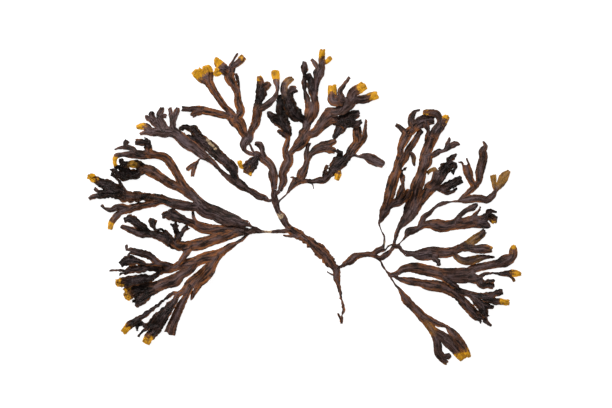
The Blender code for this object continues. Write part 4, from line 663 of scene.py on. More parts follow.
outline("lower_hub", """
33.4 5.7 1.3, 35.1 2.1 1.8, 37.8 -1.5 1.5, 40.3 -4.2 3
 42 -8 1.4, 44.5 -11.8 1.5
  frond_bottom_right
 43.4 -4.5 4.2
  46.6 -6.9 2.8
   frond_right_lower_second
  46.7 -2.4 4.3 | rust 0.4
   frond_right_lower_first
""")
outline("right_axis", """
3.4 1.3 2.5, 6.8 4 4, 10.9 6.2 6.2, 14.4 9.4 5.8, 18.6 10.3 4.2, 23 11.1 4.3,
  27.3 10.9 4.3 | rust 0.5
 30.5 9 3.3
  lower_hub
  right_hub
 31 13.8 4.5, 35.4 15.4 5.1
  39.7 17.6 1.2, 44.8 18.8 1.4
  36.1 20.5 1.6, 36.2 24.1 1.2, 34.1 28.5 1, 32.3 33.4 1.2
   frond_right_tall_first
""")
outline("stipe", """
4.2 -41 2.7, 4.1 -38.2 2.6 | rust 0.8
 2.7 -35.9 1.9, 1.4 -32.9 1.8 | rust 0.6
 4.5 -34.9 1.5, 5.4 -31 2.3, 4.8 -26 1.6, 3.5 -21.6 1.6, 2.9 -17 2.7, 1.9 -12.1 2.9,
   0.9 -8.1 5.1 | rust 0.4, torn 0.4
  -2 -4.8 1.6, -4.5 -3.3 1.2, -6.9 -1.9 1.1
  0.7 -4 5.5, 0.1 0 7.5 | torn 0.6
   left_axis
   right_axis
""")

# %% [markdown]
# ## Curves through the points
# A living strap bends without corners. A curve object would bend as well, but it can't part into
# two within its width. So the rib is worked out as a cubic curve through the points, which
# leaves a fork in the direction in which the strap before it arrived. The same curve carries the
# width.

# %% Small helpers
def unit(vector):
    """Vectors divided by their length."""
    return vector / np.maximum(np.linalg.norm(vector, axis=-1, keepdims=True), 1e-9)


def left_of(heading):
    """The heading (x, y) turned a quarter to the left: (-y, x)."""
    return np.stack([-heading[..., 1], heading[..., 0]], axis=-1)


def ease(x):
    """Nothing below 0, one above 1, and 3x^2 - 2x^3 between."""
    x = np.clip(x, 0, 1)
    return x * x * (3 - 2 * x)


print("a quarter of the way eases to", ease(0.25))

# %% A smooth curve
NARROWEST = 0.9
SPACING = 0.5


def smooth_curve(points, heading, hold):
    """Cubic spans through the (x, y, width) points: the end points by 2t^3 - 3t^2 + 1 and
    3t^2 - 2t^3, and their slopes by t^3 - 2t^2 + t and t^3 - t^2. A slope is the mean of the
    chords on both sides, weighted by the length of the other one, and the first one keeps to the
    heading."""
    points = np.asarray(points, float)
    steps = np.linalg.norm(np.diff(points[:, :2], axis=0), axis=1)[:, None]
    chords = np.diff(points, axis=0) / steps
    inner = (chords[:-1] * steps[1:] + chords[1:] * steps[:-1]) / (steps[:-1] + steps[1:])
    slopes = np.concatenate([chords[:1], inner, chords[-1:]])
    if heading is not None:
        slopes[0, :2] = unit(hold * heading + (1 - hold) * chords[0, :2])
    parts = [points[:1]]
    for i, step in enumerate(steps[:, 0]):
        t = np.linspace(0, 1, max(2, math.ceil(step / SPACING)) + 1)[1:, None]
        leaving = points[i] * (2 * t**3 - 3 * t**2 + 1) + slopes[i] * step * (t**3 - 2 * t**2 + t)
        reaching = points[i + 1] * (3 * t**2 - 2 * t**3) + slopes[i + 1] * step * (t**3 - t**2)
        parts.append(leaving + reaching)
    curve = np.concatenate(parts)
    curve[:, 2] = np.maximum(curve[:, 2], NARROWEST)
    return curve


trial = smooth_curve(OUTLINES["frond_centre"]["path"], None, 1.0)
print(len(trial), "points on the curve through", len(OUTLINES["frond_centre"]["path"]))

# %% A strap as it grows
FORK_HOLD = 0.5


class Strap:
    """A strap's curve, its place among the forks and, once laid, its height."""

    def __init__(self, source, parent, start, heading):
        self.form = source["form"]
        self.parent = parent
        self.joined = len(source["kids"]) == 1
        self.node = self.form.get("node", parent.node if parent else "")
        self.layer = self.form.get("layer", parent.layer if parent else 0)
        hold = 1.0 if parent and parent.joined else FORK_HOLD
        self.curve = smooth_curve(start + source["path"], heading, hold)
        run = np.linalg.norm(np.diff(self.curve[:, :2], axis=0), axis=1)
        self.s = np.concatenate([[0], np.cumsum(run)])
        self.length = self.s[-1]
        self.heading = unit(np.gradient(self.curve[:, :2], self.s, axis=0))
        self.depth = parent.depth + parent.length if parent else 0.0
        self.kids = []
        self.web = 0.0

    def at(self, s):
        """Centre, left-hand direction and half width at the distances s, read off the curve."""
        centre = np.stack([np.interp(s, self.s, self.curve[:, k]) for k in (0, 1)], axis=-1)
        heading = np.stack([np.interp(s, self.s, self.heading[:, k]) for k in (0, 1)], axis=-1)
        return centre, left_of(unit(heading)), np.interp(s, self.s, self.curve[:, 2]) / 2

    def edges(self, s):
        """The left and the right edge: the centre plus and minus half the width sideways."""
        centre, side, half = self.at(s)
        return centre + side * half[:, None], centre - side * half[:, None]

    def height(self, s):
        """Height of the rib, read off the laid line."""
        return np.interp(s, self.laid_s, self.laid_z)


trial = Strap(OUTLINES["frond_centre"], None, [], None)
print("the first strap of the centre frond is", round(trial.length, 1), "mm long")

# %% [markdown]
# ## Forks
# Two straps that fork start side by side within the width of the one before them, and stay one
# blade as far as the notch. They could be modelled apart and joined afterwards, but then every
# fork would need its seam mended. Here the tree is grown from its root, and each fork finds its
# own notch: the first place where the inner edges stand clear of each other.

# %% The notch of a fork
NOTCH_GAP = 0.12
WEB_SHARE = 0.86
FIRST_TRIAL = 0.8
TRIAL_STEP = 0.1


def inner_gap(left, right, s):
    """How far apart the inner edges of two straps that fork stand, below nothing where they
    overlap."""
    _, left_inner = left.edges(s)
    right_inner, _ = right.edges(s)
    across = unit(left.at(s)[0] - right.at(s)[0] + 1e-6)
    return ((left_inner - right_inner) * across).sum(1)


def web_length(left, right):
    """How far from the fork the straps stay one blade, before the notch parts them."""
    most = WEB_SHARE * min(left.length, right.length)
    s = np.arange(FIRST_TRIAL, most, TRIAL_STEP)
    parted = inner_gap(left, right, s) >= NOTCH_GAP
    return s[parted.argmax()] if parted.any() else most


# %% The whole plant grows
straps = []


def grow(source, parent, start, heading):
    """Turns the outline into a list, and starts forking straps side by side, left first."""
    this = Strap(source, parent, start, heading)
    this.index = len(straps)
    straps.append(this)
    kids = source["kids"]
    if not kids:
        return this
    centre, side, half = this.at(np.array(this.length))
    forward = this.heading[-1]
    if this.joined:
        this.kids = [grow(kids[0], this, [(*centre, 2 * half)], forward)]
        return this
    lean = [np.dot(np.array(kid["path"][0][:2]) - centre, side) for kid in kids]
    grown = {}
    for kid, leaning in zip(kids, lean):
        sign = 1 if leaning == max(lean) else -1
        width = min(kid["path"][0][2], 2 * half)
        begin = centre + side * sign * (half - width / 2)
        grown[sign] = grow(kid, this, [(*begin, width)], forward)
    this.kids = [grown[1], grown[-1]]
    this.web = web_length(*this.kids)
    return this


grow(OUTLINES["stipe"], None, [], None)
print(len(straps), "straps,", round(sum(this.length for this in straps)), "mm of them in all")

# %% [markdown]
# ## How it lies
# A wet plant that is spread on a sheet sinks onto it, and a strap that crosses another climbs
# over it in a long low hump. A cloth simulation could lay it down, but it would settle a little
# differently from the solids. So the height of every rib is worked out first, by a rule and with
# the thick forms of the solids, and the fine fronds lie exactly where the solids lie.

# %% Form of the thick straps
EDGE_THICKNESS = 0.62
RIB_SHARE = 0.42
RIPE_DOME = 0.9
RIPENING = 7.0
SWELL_HEIGHT = 0.45
STILL_REACH = 10.0


def rib_thickness(width):
    """The rib's thickness: 0.9 mm and 0.14 of the width more, between 0.95 and 1.9 mm."""
    return np.clip(0.9 + 0.14 * width, 0.95, 1.9)


def wave(xy):
    """Three crossed sine swells over the sheet, 0.45 mm high, still at the resting spot."""
    x, y = xy[..., 0], xy[..., 1]
    swell = np.sin(0.31 * x + 0.12 * y + 0.7)
    swell = swell + np.sin(0.17 * y - 0.23 * x + 2.1)
    swell = swell + 0.6 * np.sin(0.36 * y + 0.09 * x)
    still = np.exp(-(x**2 + y**2) / STILL_REACH**2)
    return SWELL_HEIGHT / 2.6 * swell * (1 - still)


def swelling(this, s):
    """How ripe the strap is: its outline's value, reached over the last 7 mm before the tip."""
    return this.form.get("ripe", 0) * ease((s - this.length) / RIPENING + 1)


def thickness(this, s, u):
    """The thick form: the edge, a bell curve for the rib and a dome for a ripe tip."""
    rib = rib_thickness(2 * this.at(s)[2]) - EDGE_THICKNESS
    dome = RIPE_DOME * swelling(this, s) * (1 - u * u)
    return EDGE_THICKNESS + rib * np.exp(-((u / RIB_SHARE) ** 2)) + dome


print("the rib of a strap 8 mm wide is", round(rib_thickness(8.0), 2), "mm thick")

# %% [markdown]
# A strap seldom lies flat: it tilts to one side, cups like a gutter and frills. Each one could be
# posed by hand, but there are hundreds, so a seed and the strap's number in the plant draw its
# habit, which is the same on every run.

# %% Habit of each strap
SEED = 7
HABIT_FADE = 7.0
TIP_LIFT = 2.2


def drawn(this, factor, count):
    """Random numbers between -1 and 1 that belong to this strap and this factor."""
    return np.random.default_rng(SEED + factor * this.index).uniform(-1, 1, count)


def profile(this, s, u):
    """Height above the rib's line at the side position u, 1 at the left edge and -1 at the right:
    half the width times tilt * u + bend * u^2, where tilt and bend swing along the strap."""
    draw = drawn(this, 31, 8)
    half = this.at(s)[2]
    fade = ease((s - (this.parent.web if this.parent else 0)) / HABIT_FADE)
    if this.kids:
        fade = fade * ease((this.length - s) / HABIT_FADE)
    rolling = 2 * math.pi * s / (24 + 8 * draw[2]) + math.pi * draw[3]
    tilt = 0.16 * draw[0] + 0.14 * draw[1] * np.sin(rolling)
    frilling = 2 * math.pi * s / (3.2 * half + 6)
    phase = np.where(u > 0, math.pi * draw[6], math.pi * draw[7])
    bend = 0.2 * draw[4] - 0.06 + (0.1 + 0.04 * draw[5]) * np.sin(frilling + phase)
    return fade * half * (tilt * u + bend * u * u)


def resting_lift(this, s):
    """Loose ends rise a little towards their tips, by s^2, and all else rests."""
    if this.kids or this.length < HABIT_FADE:
        return 0 * s
    draw = np.random.default_rng(SEED + 17 * this.index).uniform(0, 1)
    return TIP_LIFT * draw**2 * (s / this.length) ** 2


swing = max(np.abs(profile(this, this.s, 1.0)).max() for this in straps)
print("left edges stand up to", round(swing, 1), "mm above or below their rib")

# %% [markdown]
# ## Crossings
# Where a strap lies over another is settled from above, with points every 1.6 mm along all
# straps. Meshes could be tested against each other, but none is made yet, and a table of every
# point against every other is soon worked out. Straps that part at the same fork touch there
# without crossing, so the distance along the plant counts as well as the distance across.

# %% How far apart along the plant
PAST_NOTCH = 2.0


def shared_forks():
    """For each pair of straps, the depth of the fork where they part, and the length of its web."""
    chains = []
    for this in straps:
        chain = [this.index]
        while straps[chain[-1]].parent:
            chain.append(straps[chain[-1]].parent.index)
        chains.append(chain[::-1])
    fork = np.full((len(straps), len(straps)), np.inf)
    web = np.zeros_like(fork)
    for a in range(len(straps)):
        for b in range(a):
            shared = sum(1 for p, q in zip(chains[a], chains[b]) if p == q)
            if shared < min(len(chains[a]), len(chains[b])):
                common = straps[chains[a][shared - 1]]
                fork[a, b] = fork[b, a] = common.depth + common.length
                web[a, b] = web[b, a] = common.web
    return fork, web


def tree_distance(owner, depth):
    """Distance along the straps between every two samples, and which pairs are past their notch."""
    pairs = np.ix_(owner, owner)
    fork, web = (table[pairs] for table in shared_forks())
    parted = np.isfinite(fork)
    around = depth[:, None] + depth[None, :] - 2 * np.where(parted, fork, 0)
    apart = np.where(parted, around, np.abs(depth[:, None] - depth[None, :]))
    past = np.minimum(depth[:, None], depth[None, :]) - fork - web
    return apart, ~parted | (past > PAST_NOTCH)


print(np.isfinite(shared_forks()[0]).sum() // 2, "pairs of straps part at a fork")

# %% Who crosses whom
TRIAL_SIDES = (-1.0, -0.5, 0.0, 0.5, 1.0)
NEAR_ALONG = 1.5
NEAR_ASIDE = 0.7


def crossings(centre, side, half):
    """Which samples lie over or under which, seen from above: a sample's five side points fall
    within 1.5 mm along and half a width aside of the other."""
    ahead = np.stack([side[:, 1], -side[:, 0]], axis=1)
    crossing = np.zeros((len(half), len(half)), bool)
    for u in TRIAL_SIDES:
        point = centre + side * half[:, None] * u
        away = point[:, None, :] - centre[None, :, :]
        along = np.abs((away * ahead[None]).sum(2))
        aside = np.abs((away * side[None]).sum(2))
        crossing |= (along < NEAR_ALONG) & (aside < half[None, :] + NEAR_ASIDE)
    return crossing | crossing.T


def spread(samples, centre, side, half):
    """The lowest and the highest point of each sample, measured from the rib's line."""
    low = np.full(len(half), np.inf)
    top = np.full(len(half), -np.inf)
    for u in TRIAL_SIDES:
        middle = wave(centre + side * half[:, None] * u)
        middle += np.concatenate([profile(this, s, u) for this, s in zip(straps, samples)])
        thick = np.concatenate([thickness(this, s, u) for this, s in zip(straps, samples)])
        low = np.minimum(low, middle - thick / 2)
        top = np.maximum(top, middle + thick / 2)
    return low, top


# %% [markdown]
# ## Laying the straps
# Leather can't step down at once behind what it crosses. Each point is as high as the sheet or
# the strap below asks, and may be no lower than any other point of the plant less an even drop
# with the distance between them. The rule is applied again and again until nothing rises, and a
# bell-shaped mean along the straps then rounds the crests.

# %% Heights
SAMPLE = 1.6
CREST = 0.04
SLOPE = 0.5
CLEARANCE = 0.5
SETTLING = 2.0
ROUNDS = 40
STEADY = 0.02
SAME_STRAP = (2.2, 3)
OTHER_STRAP = (1.25, 2)


def drop(distance):
    """How far a strap may come down within a distance: 0.04 times its square, then an even 0.5."""
    crest_end = SLOPE / (2 * CREST)
    crest = CREST * np.minimum(distance, crest_end) ** 2
    return crest + SLOPE * np.maximum(distance - crest_end, 0)


def lay():
    """Height of every rib: the floor or the strap below plus a clearance, whichever is higher,
    less the drop over the distance from there, and then a bell-shaped mean along the straps. Two
    points cross only if they are far enough apart along the plant: so many widths and so many
    mm."""
    for this in straps:
        this.laid_s = np.linspace(0, this.length, max(3, math.ceil(this.length / SAMPLE) + 1))
    samples = [this.laid_s for this in straps]
    owner = np.concatenate([np.full(len(s), i) for i, s in enumerate(samples)])
    depth = np.concatenate([this.depth + s for this, s in zip(straps, samples)])
    places = [this.at(s) for this, s in zip(straps, samples)]
    centre, side, half = (np.concatenate([place[k] for place in places]) for k in range(3))
    low, top = spread(samples, centre, side, half)

    apart, past_notch = tree_distance(owner, depth)
    reach = half[:, None] + half[None, :]
    same = owner[:, None] == owner[None, :]
    widths, more = (np.where(same, SAME_STRAP[k], OTHER_STRAP[k]) for k in (0, 1))
    free = apart > widths * reach + more
    rank = np.array([1000 * this.layer + this.index for this in straps])[owner]
    over = rank[:, None] > rank[None, :]
    over |= same & (depth[:, None] > depth[None, :])
    upper, lower = np.nonzero(crossings(centre, side, half) & free & past_notch & over)
    print(len(upper), "pairs of points lie over each other")

    lift = np.concatenate([resting_lift(this, s) for this, s in zip(straps, samples)])
    floor_height = lift - low
    falls = drop(apart)
    need = top[lower] - low[upper] + CLEARANCE
    height = floor_height
    for _ in range(ROUNDS):
        wanted = floor_height.copy()
        np.maximum.at(wanted, upper, height[lower] + need)
        raised = (wanted[None, :] - falls).max(1)
        change = np.abs(raised - height).max()
        height = raised
        if change < STEADY:
            break
    near = np.exp(-(apart**2) / (2 * SETTLING**2))
    height = (near * height[None, :]).sum(1) / near.sum(1) + CREST * SETTLING**2
    for this in straps:
        this.laid_z = height[owner == this.index]


lay()
print("highest rib", round(max(this.laid_z.max() for this in straps), 2), "mm above the sheet")

# %% [markdown]
# ## The surface of a frond
# On the plant a strap is a thin blade of leather with a raised rib, and below each notch the two
# straps of a fork are still one blade. A flat bevel along a curve would give each strap its own
# blade, and the two would lie inside each other at every fork. Instead every strap becomes a
# grid: rows along it, and columns from its left edge to its right one. The grids of a fork share
# the column between them as far as the notch.

# %% Rows and columns
COLUMNS = 13
ROW = 0.85
JOINT_GAP = 0.01
across = np.linspace(1, -1, COLUMNS)


def rows_of(this):
    """Distances of the rows along a strap, and how many of them lie in the web before the notch."""
    end = this.length - (JOINT_GAP if this.joined else 0)
    if not this.parent or this.parent.joined:
        begin = JOINT_GAP if this.parent else 0.0
        return np.linspace(begin, end, max(3, math.ceil((end - begin) / ROW)) + 1), 0
    web = this.parent.web
    in_web = max(2, math.ceil(web / ROW))
    past = max(2, math.ceil((end - web) / ROW))
    rows = [np.linspace(0, web, in_web + 1), np.linspace(web, end, past + 1)[1:]]
    return np.concatenate(rows), in_web


print(sum(len(rows_of(this)[0]) for this in straps), "rows of", COLUMNS, "points")

# %% [markdown]
# In the web, each half runs from its own outer edge to the line midway between the inner edges.
# A row also carries what the finish needs: how far the nearest edge is, how far the rib is, and
# how wide the strap is there. The rib forks more slowly than the blade, so it starts out midway.

# %% The web of a fork
RIB_PARTING = 2.4


def web_grid(this, s):
    """The strap's half of the web. Sideways it runs evenly from its outer edge to the line midway
    between the inner edges, and its height leans towards the mean of both halves by the square."""
    left, right = this.parent.kids
    outer_left, inner_left = left.edges(s)
    inner_right, outer_right = right.edges(s)
    middle = ((inner_left + inner_right) / 2)[:, None, :]
    outer = (outer_left if this is left else outer_right)[:, None, :]
    share = ((1 - across if this is left else 1 + across) / 2)[None, :]
    xy = outer + (middle - outer) * share[:, :, None]
    own, mean = this.height(s), (left.height(s) + right.height(s)) / 2
    z = own[:, None] + share**2 * (mean - own)[:, None]
    end = np.array([this.parent.web])
    notch = (left.edges(end)[1] + right.edges(end)[0]) / 2
    from_edge = np.linalg.norm(xy - outer, axis=2)
    rim = np.minimum(from_edge, np.linalg.norm(xy - notch[None], axis=2))
    centre, _, own_half = this.at(s)
    first_half = this.parent.at(np.array(this.parent.length))[2]
    parting = ease(s / (RIB_PARTING * first_half))[:, None]
    rib_line = middle + (centre[:, None, :] - middle) * parting[:, :, None]
    rib_half = first_half + (own_half[:, None] - first_half) * parting + 0 * share
    return xy, z, rim, np.linalg.norm(xy - rib_line, axis=2), rib_half


webs = [this.web for this in straps if this.web]
print(len(webs), "webs, up to", round(max(webs), 1), "mm long")

# %% [markdown]
# Past the notch a strap is on its own. Its end could be closed by a half circle, but real tips
# are nearly as wide at the end as before it and a little notched, so the last rows narrow only
# slightly and are drawn back by a noise. Beside the notch, both inner edges give way a little.

# %% A strap on its own
SLIT = 0.2
SLIT_RUN = 12
BLUNT = 0.93


def pulls(this, s):
    """How far the left and the right edge are drawn in beside the other half of a fork."""
    none = 0 * s
    if not this.parent or this.parent.joined:
        return none, none
    left, right = this.parent.kids
    beside = s <= min(left.length, right.length, this.parent.web + SLIT_RUN)
    short = np.where(beside, np.maximum(0, SLIT - inner_gap(left, right, s)) / 2, 0)
    return (none, short) if this is left else (short, none)


def lattice_noise(x, y, seed):
    """Smooth noise between -1 and 1: random values at whole numbers, eased between them."""
    grid = np.random.default_rng(seed).uniform(-1, 1, (64, 64))
    i, j = np.floor(x).astype(int), np.floor(y).astype(int)
    a, b = ease(x - i), ease(y - j)
    near = grid[i % 64, j % 64] * (1 - a) + grid[(i + 1) % 64, j % 64] * a
    far = grid[i % 64, (j + 1) % 64] * (1 - a) + grid[(i + 1) % 64, (j + 1) % 64] * a
    return near * (1 - b) + far * b


def free_grid(this, s):
    """The strap on its own: the centre plus the side position times the half width, less what the
    edge is drawn in. A tip narrows like an ellipse, and its last rows bulge by u^2."""
    u = across[None, :]
    half = this.at(s)[2]
    narrowing = np.ones_like(s)
    along = np.repeat(s[:, None], COLUMNS, axis=1)
    if not this.kids:
        cap = min(0.55 * this.curve[-1, 2], 0.4 * this.length)
        t = np.clip((s - this.length) / cap + 1, 0, 1)
        blunt = this.form.get("tip", BLUNT)
        narrowing = blunt + (1 - blunt) * np.sqrt(1 - t**2)
        ragged = lattice_noise(u * 1.9 + this.index, 0.37 * this.index + 0 * u, 5)
        bulge = cap * (0.14 * u**2 + 0.1 + 0.3 * ragged)
        along = along - bulge * ease((s[:, None] - this.length) / (2.4 * cap) + 1)
    if this.parent is None:
        narrowing = 0.7 + 0.3 * ease(s / 2)
    centre, side, _ = this.at(along)
    left_pull, right_pull = pulls(this, s)
    reach = u * (half * narrowing)[:, None]
    reach = reach - u * np.where(u > 0, left_pull[:, None], right_pull[:, None])
    xy = centre + side * reach[:, :, None]
    z = this.height(along) + profile(this, along, u)
    rim = half[:, None] * narrowing[:, None] * (1 - np.abs(u))
    if not this.kids:
        rim = np.minimum(rim, (this.length - s)[:, None] + 0 * u)
    return xy, z, rim, np.abs(reach), half[:, None] + 0 * u


trial = free_grid(straps[-1], np.linspace(0, straps[-1].length, 50))[0]
print("the last strap spans", np.round(np.ptp(trial, axis=(0, 1)), 1), "mm in x and y")

# %% [markdown]
# ## Relief
# Drying draws a strap into lengthwise creases and small puckers, and its thin margin shrinks
# less than the rib, so it frills. The dark clumps have shrunk most, and fold. A bump in the
# material would show the light on all this but leave the edge smooth, so it is raised in the
# mesh. Each form is a smooth noise, read along the strap for the creases and by place for the
# rest, so that neighbours in a fork agree where they meet.

# %% Thickness of the fine blade
EDGE_FINE = 0.22
BLADE_FINE = 0.42
RIB_FINE = 0.85
DOME_FINE = 1.1


def thin_form(this, s, rim, from_rib, rib_half):
    """Thickness in mm: a thin margin, a blade behind it, a bell curve for the rib, a ripe dome."""
    blade = EDGE_FINE + (BLADE_FINE - EDGE_FINE) * ease(rim / 1.1)
    rib = np.exp(-((from_rib / (0.3 * rib_half + 0.15)) ** 2))
    height = RIB_FINE * (rib_thickness(2 * rib_half) - EDGE_THICKNESS)
    dome = DOME_FINE * swelling(this, s)[:, None] * ease(rim / 1.4)
    return blade + height * rib + dome, rib


rim, from_rib = np.array([[0.0, 4.0]]), np.array([[4.0, 0.0]])
trial = thin_form(straps[0], np.zeros(1), rim, from_rib, rib_half=4.0)[0]
print("a strap 8 mm wide is", np.round(trial[0], 2), "mm thick at its edge and its rib")

# %% Creases, puckers, frills and folds
def place_noise(xy, size, seed, shift=(0, 0)):
    """Noise by place, in lumps as wide as the size in mm."""
    return lattice_noise(xy[..., 0] / size + shift[0], xy[..., 1] / size + shift[1], seed)


def relief(this, s, xy, sideways, rim, dark):
    """Height added to the blade: creases of noise 0.8 mm by 7 mm, puckers of noise 2.2 mm wide,
    a frill of noise 3 mm long that grows towards the rim, and warts on a ripe tip. Where the weed
    is dark it has shrunk most: folds like |noise|, turned up, and a taller frill."""
    along = s[:, None] + 0 * sideways
    calm = ease(s / 4)
    if this.kids:
        calm = calm * ease((this.length - s) / 4)
    crease = 0.1 * lattice_noise(sideways / 0.8 + 9 * this.index, along / 7, 11)
    crease = crease + 0.06 * lattice_noise(sideways / 0.5, along / 3 + 5 * this.index, 12)
    pucker = 0.13 * place_noise(xy, 2.2, 13)
    frill = (0.34 + 0.5 * dark) * np.exp(-rim / 0.9) * (place_noise(xy, 3, 14, (20, 0)) + dark)
    folds = 1.5 * dark * np.abs(place_noise(xy, 2.4, 17, (30, 0))) * ease(0.3 + rim)
    warts = 0.22 * place_noise(xy, 0.9, 15) * swelling(this, s)[:, None]
    return calm[:, None] * crease + pucker + frill + folds + warts


# %% [markdown]
# The edges are torn as well. They are moved sideways by two noises: small teeth everywhere, most
# on the old stipe, and broad lobes on the dark clumps. Pale scars, where the skin is rubbed off,
# are few, so their places are written down one by one. What a strap's outline says of its colour
# is eased from the strap before, because no colour on the plant stops at a fork.

# %% Torn edges, scars and colour hints
# Among the hints, the one after dark is the share of a painted sheen, a greyish-blue highlight; rust,
# dark and amber are shares of the weed's own colours.
FIELDS = ("rib", "rim", "ripe", "worn", "tone", "rust", "dark", "grey", "amber")
HINTS = FIELDS[5:]
HINT_RUN = 6
SCARS = [(-41.8, 39.4, 2.4), (-50, 28, 1.8), (-53.5, 28, 1.8), (38.5, 19.8, 2.6)]
SCARS += [(-96, 97, 1.3), (-94.5, 94.5, 1.4), (-92.5, 92.5, 1.5), (-90.5, 90, 1.2)]


def hint(this, s, key):
    """A hint of the outline, eased over 6 mm from the value of the strap before."""
    own = this.form.get(key, 0.0)
    before = this.parent.form.get(key, 0.0) if this.parent else own
    return (before + (own - before) * ease(s / HINT_RUN))[:, None]


def torn_edge(this, s, xy, rim, dark):
    """How far a point moves outwards: teeth of noise 1.3 mm wide that fade within 0.6 mm of the
    rim, and lobes of noise 2.8 mm wide that fade within 1.6 mm."""
    teeth = (0.26 + 0.45 * dark + hint(this, s, "torn")) * np.exp(-rim / 0.6)
    lobes = 0.7 * dark * np.exp(-rim / 1.6)
    return teeth * place_noise(xy, 1.3, 16, (0, 7)) + lobes * place_noise(xy, 2.8, 19, (0, 7))


def scars(xy):
    """The largest of exp(-(distance / reach)^2) over the scars, cut up by a fine noise."""
    away = [((xy[..., 0] - x) ** 2 + (xy[..., 1] - y) ** 2) / reach**2 for x, y, reach in SCARS]
    return np.exp(-np.min(away, axis=0)) * (1 + place_noise(xy, 0.8, 18))


print(len(SCARS), "scars")

# %% Everything a grid carries
MARGIN = 0.05
LOWEST = 0.02
INSIDE = np.array([corner[:2] for corner in cad_box]) / MM + [[MARGIN], [-MARGIN]]
CEILING = cad_box[1][2] / MM - MARGIN


def fields_of(this):
    """A strap's grid with all that the mesh and the finish need, and its rows in the web. No
    point leaves the box of the solids."""
    s, in_web = rows_of(this)
    parts = [web_grid(this, s[: in_web + 1])] if in_web else []
    parts.append(free_grid(this, s[in_web + 1 :] if in_web else s))
    xy, z, rim, from_rib, rib_half = (np.concatenate(part) for part in zip(*parts))
    centre, side, _ = this.at(s)
    sideways = ((xy - centre[:, None]) * side[:, None]).sum(2)
    dark = hint(this, s, "dark")
    outwards = np.sign(across)[None, :] * torn_edge(this, s, xy, rim, dark)
    xy = np.clip(xy + side[:, None] * outwards[:, :, None], *INSIDE)
    thick, rib = thin_form(this, s, rim, from_rib, rib_half)
    z = z + wave(xy) + relief(this, s, xy, sideways, rim, dark)
    z = np.clip(z, thick / 2 + LOWEST, CEILING - thick / 2)
    draw = drawn(this, 53, 3)
    streak = [sideways + 40 * draw[0], s[:, None] + 200 * draw[1] + 0 * sideways]
    ripe = min(1.0, 1.2 * this.form.get("ripe", 0)) * ease((s - this.length) / 13 + 1)
    fields = {
        "place": np.concatenate([xy, z[:, :, None]], axis=2),
        "thick": thick,
        "streak": np.stack(streak, axis=2),
        "rib": rib,
        "rim": rim,
        "ripe": ripe[:, None] + 0 * rim,
        "worn": scars(xy),
        "tone": np.full_like(rim, draw[2]),
    }
    for key in HINTS:
        fields[key] = hint(this, s, key) + 0 * rim
    return fields, in_web


trial = fields_of(straps[-1])[0]["thick"]
print("the last strap is", round(trial.min(), 2), "to", round(trial.max(), 2), "mm thick")

# %% [markdown]
# ## The grids of one frond
# Neighbouring grids meet in the same points. These could be merged by distance, but that would
# also weld straps that only lie on each other, so points are welded by their number: the first
# row of a fork's halves to the last row of the strap before, and the halves to each other.

# %% Welding the grids
class Frond:
    """The grids of one frond. Points that two grids share are welded by number."""

    def __init__(self):
        self.fields = []
        self.quads = []
        self.triangles = []
        self.weld = np.arange(0)

    def add_strap(self, this, before, side):
        """Adds a strap's grid. Its first row takes every second point from the parent's last row,
        so the strip behind it is made of triangles, three for each step of the parent."""
        fields, in_web = fields_of(this)
        rows = len(fields["rim"])
        ids = len(self.weld) + np.arange(rows * COLUMNS).reshape(rows, COLUMNS)
        self.weld = np.concatenate([self.weld, ids.ravel()])
        self.fields.append(fields)
        first = 0
        if in_web:
            back, front, first = ids[0, ::2], ids[1], 1
            self.weld[back] = self.weld[before]
            near, far, mid = front[:-1:2], front[2::2], front[1::2]
            self.triangles += [
                np.stack([back[:-1], mid, near], axis=1),
                np.stack([back[:-1], back[1:], mid], axis=1),
                np.stack([back[1:], far, mid], axis=1),
            ]
        corner = ids[first:-1, :-1], ids[first:-1, 1:], ids[first + 1 :, 1:], ids[first + 1 :, :-1]
        self.quads.append(np.stack(corner, axis=-1).reshape(-1, 4))
        if side is not None:
            self.weld[ids[1 : in_web + 1, 0]] = side[1 : in_web + 1]
        if not this.kids or this.joined:
            return ids
        half = COLUMNS // 2
        left = self.add_strap(this.kids[0], ids[-1, : half + 1], None)
        self.add_strap(this.kids[1], ids[-1, half:], left[:, -1])
        return ids


trial = Frond()
trial.add_strap(next(this for this in straps if this.node == "frond_right_flat"), None, None)
print("the flat frond is", len(trial.fields), "grids of", len(np.unique(trial.weld)), "points")

# %% [markdown]
# ## From a sheet to a closed leaf
# The grids give the surface halfway through the blade. A Solidify modifier would make it equally
# thick all over, and a blade is thick at its rib and thin at its edge. So copies half the
# thickness above and below are the two faces, and a wall round the outline closes them. An edge
# belongs to the outline when no neighbour runs along it the other way.

# %% The outline of a sheet
def outline_of(faces):
    """The directed edges (a, b) of these faces for which no face has the edge (b, a)."""
    pairs = [np.stack([face, np.roll(face, -1, axis=1)], axis=2).reshape(-1, 2) for face in faces]
    edges = np.concatenate(pairs)
    size = edges.max() + 1
    return edges[~np.isin(edges[:, 0] * size + edges[:, 1], edges[:, 1] * size + edges[:, 0])]


print("a square has", len(outline_of([np.array([[0, 1, 2, 3]])])), "edges on its outline")

# %% Closing a frond
SHARP_ANGLE = 55
UV_UNIT = 10


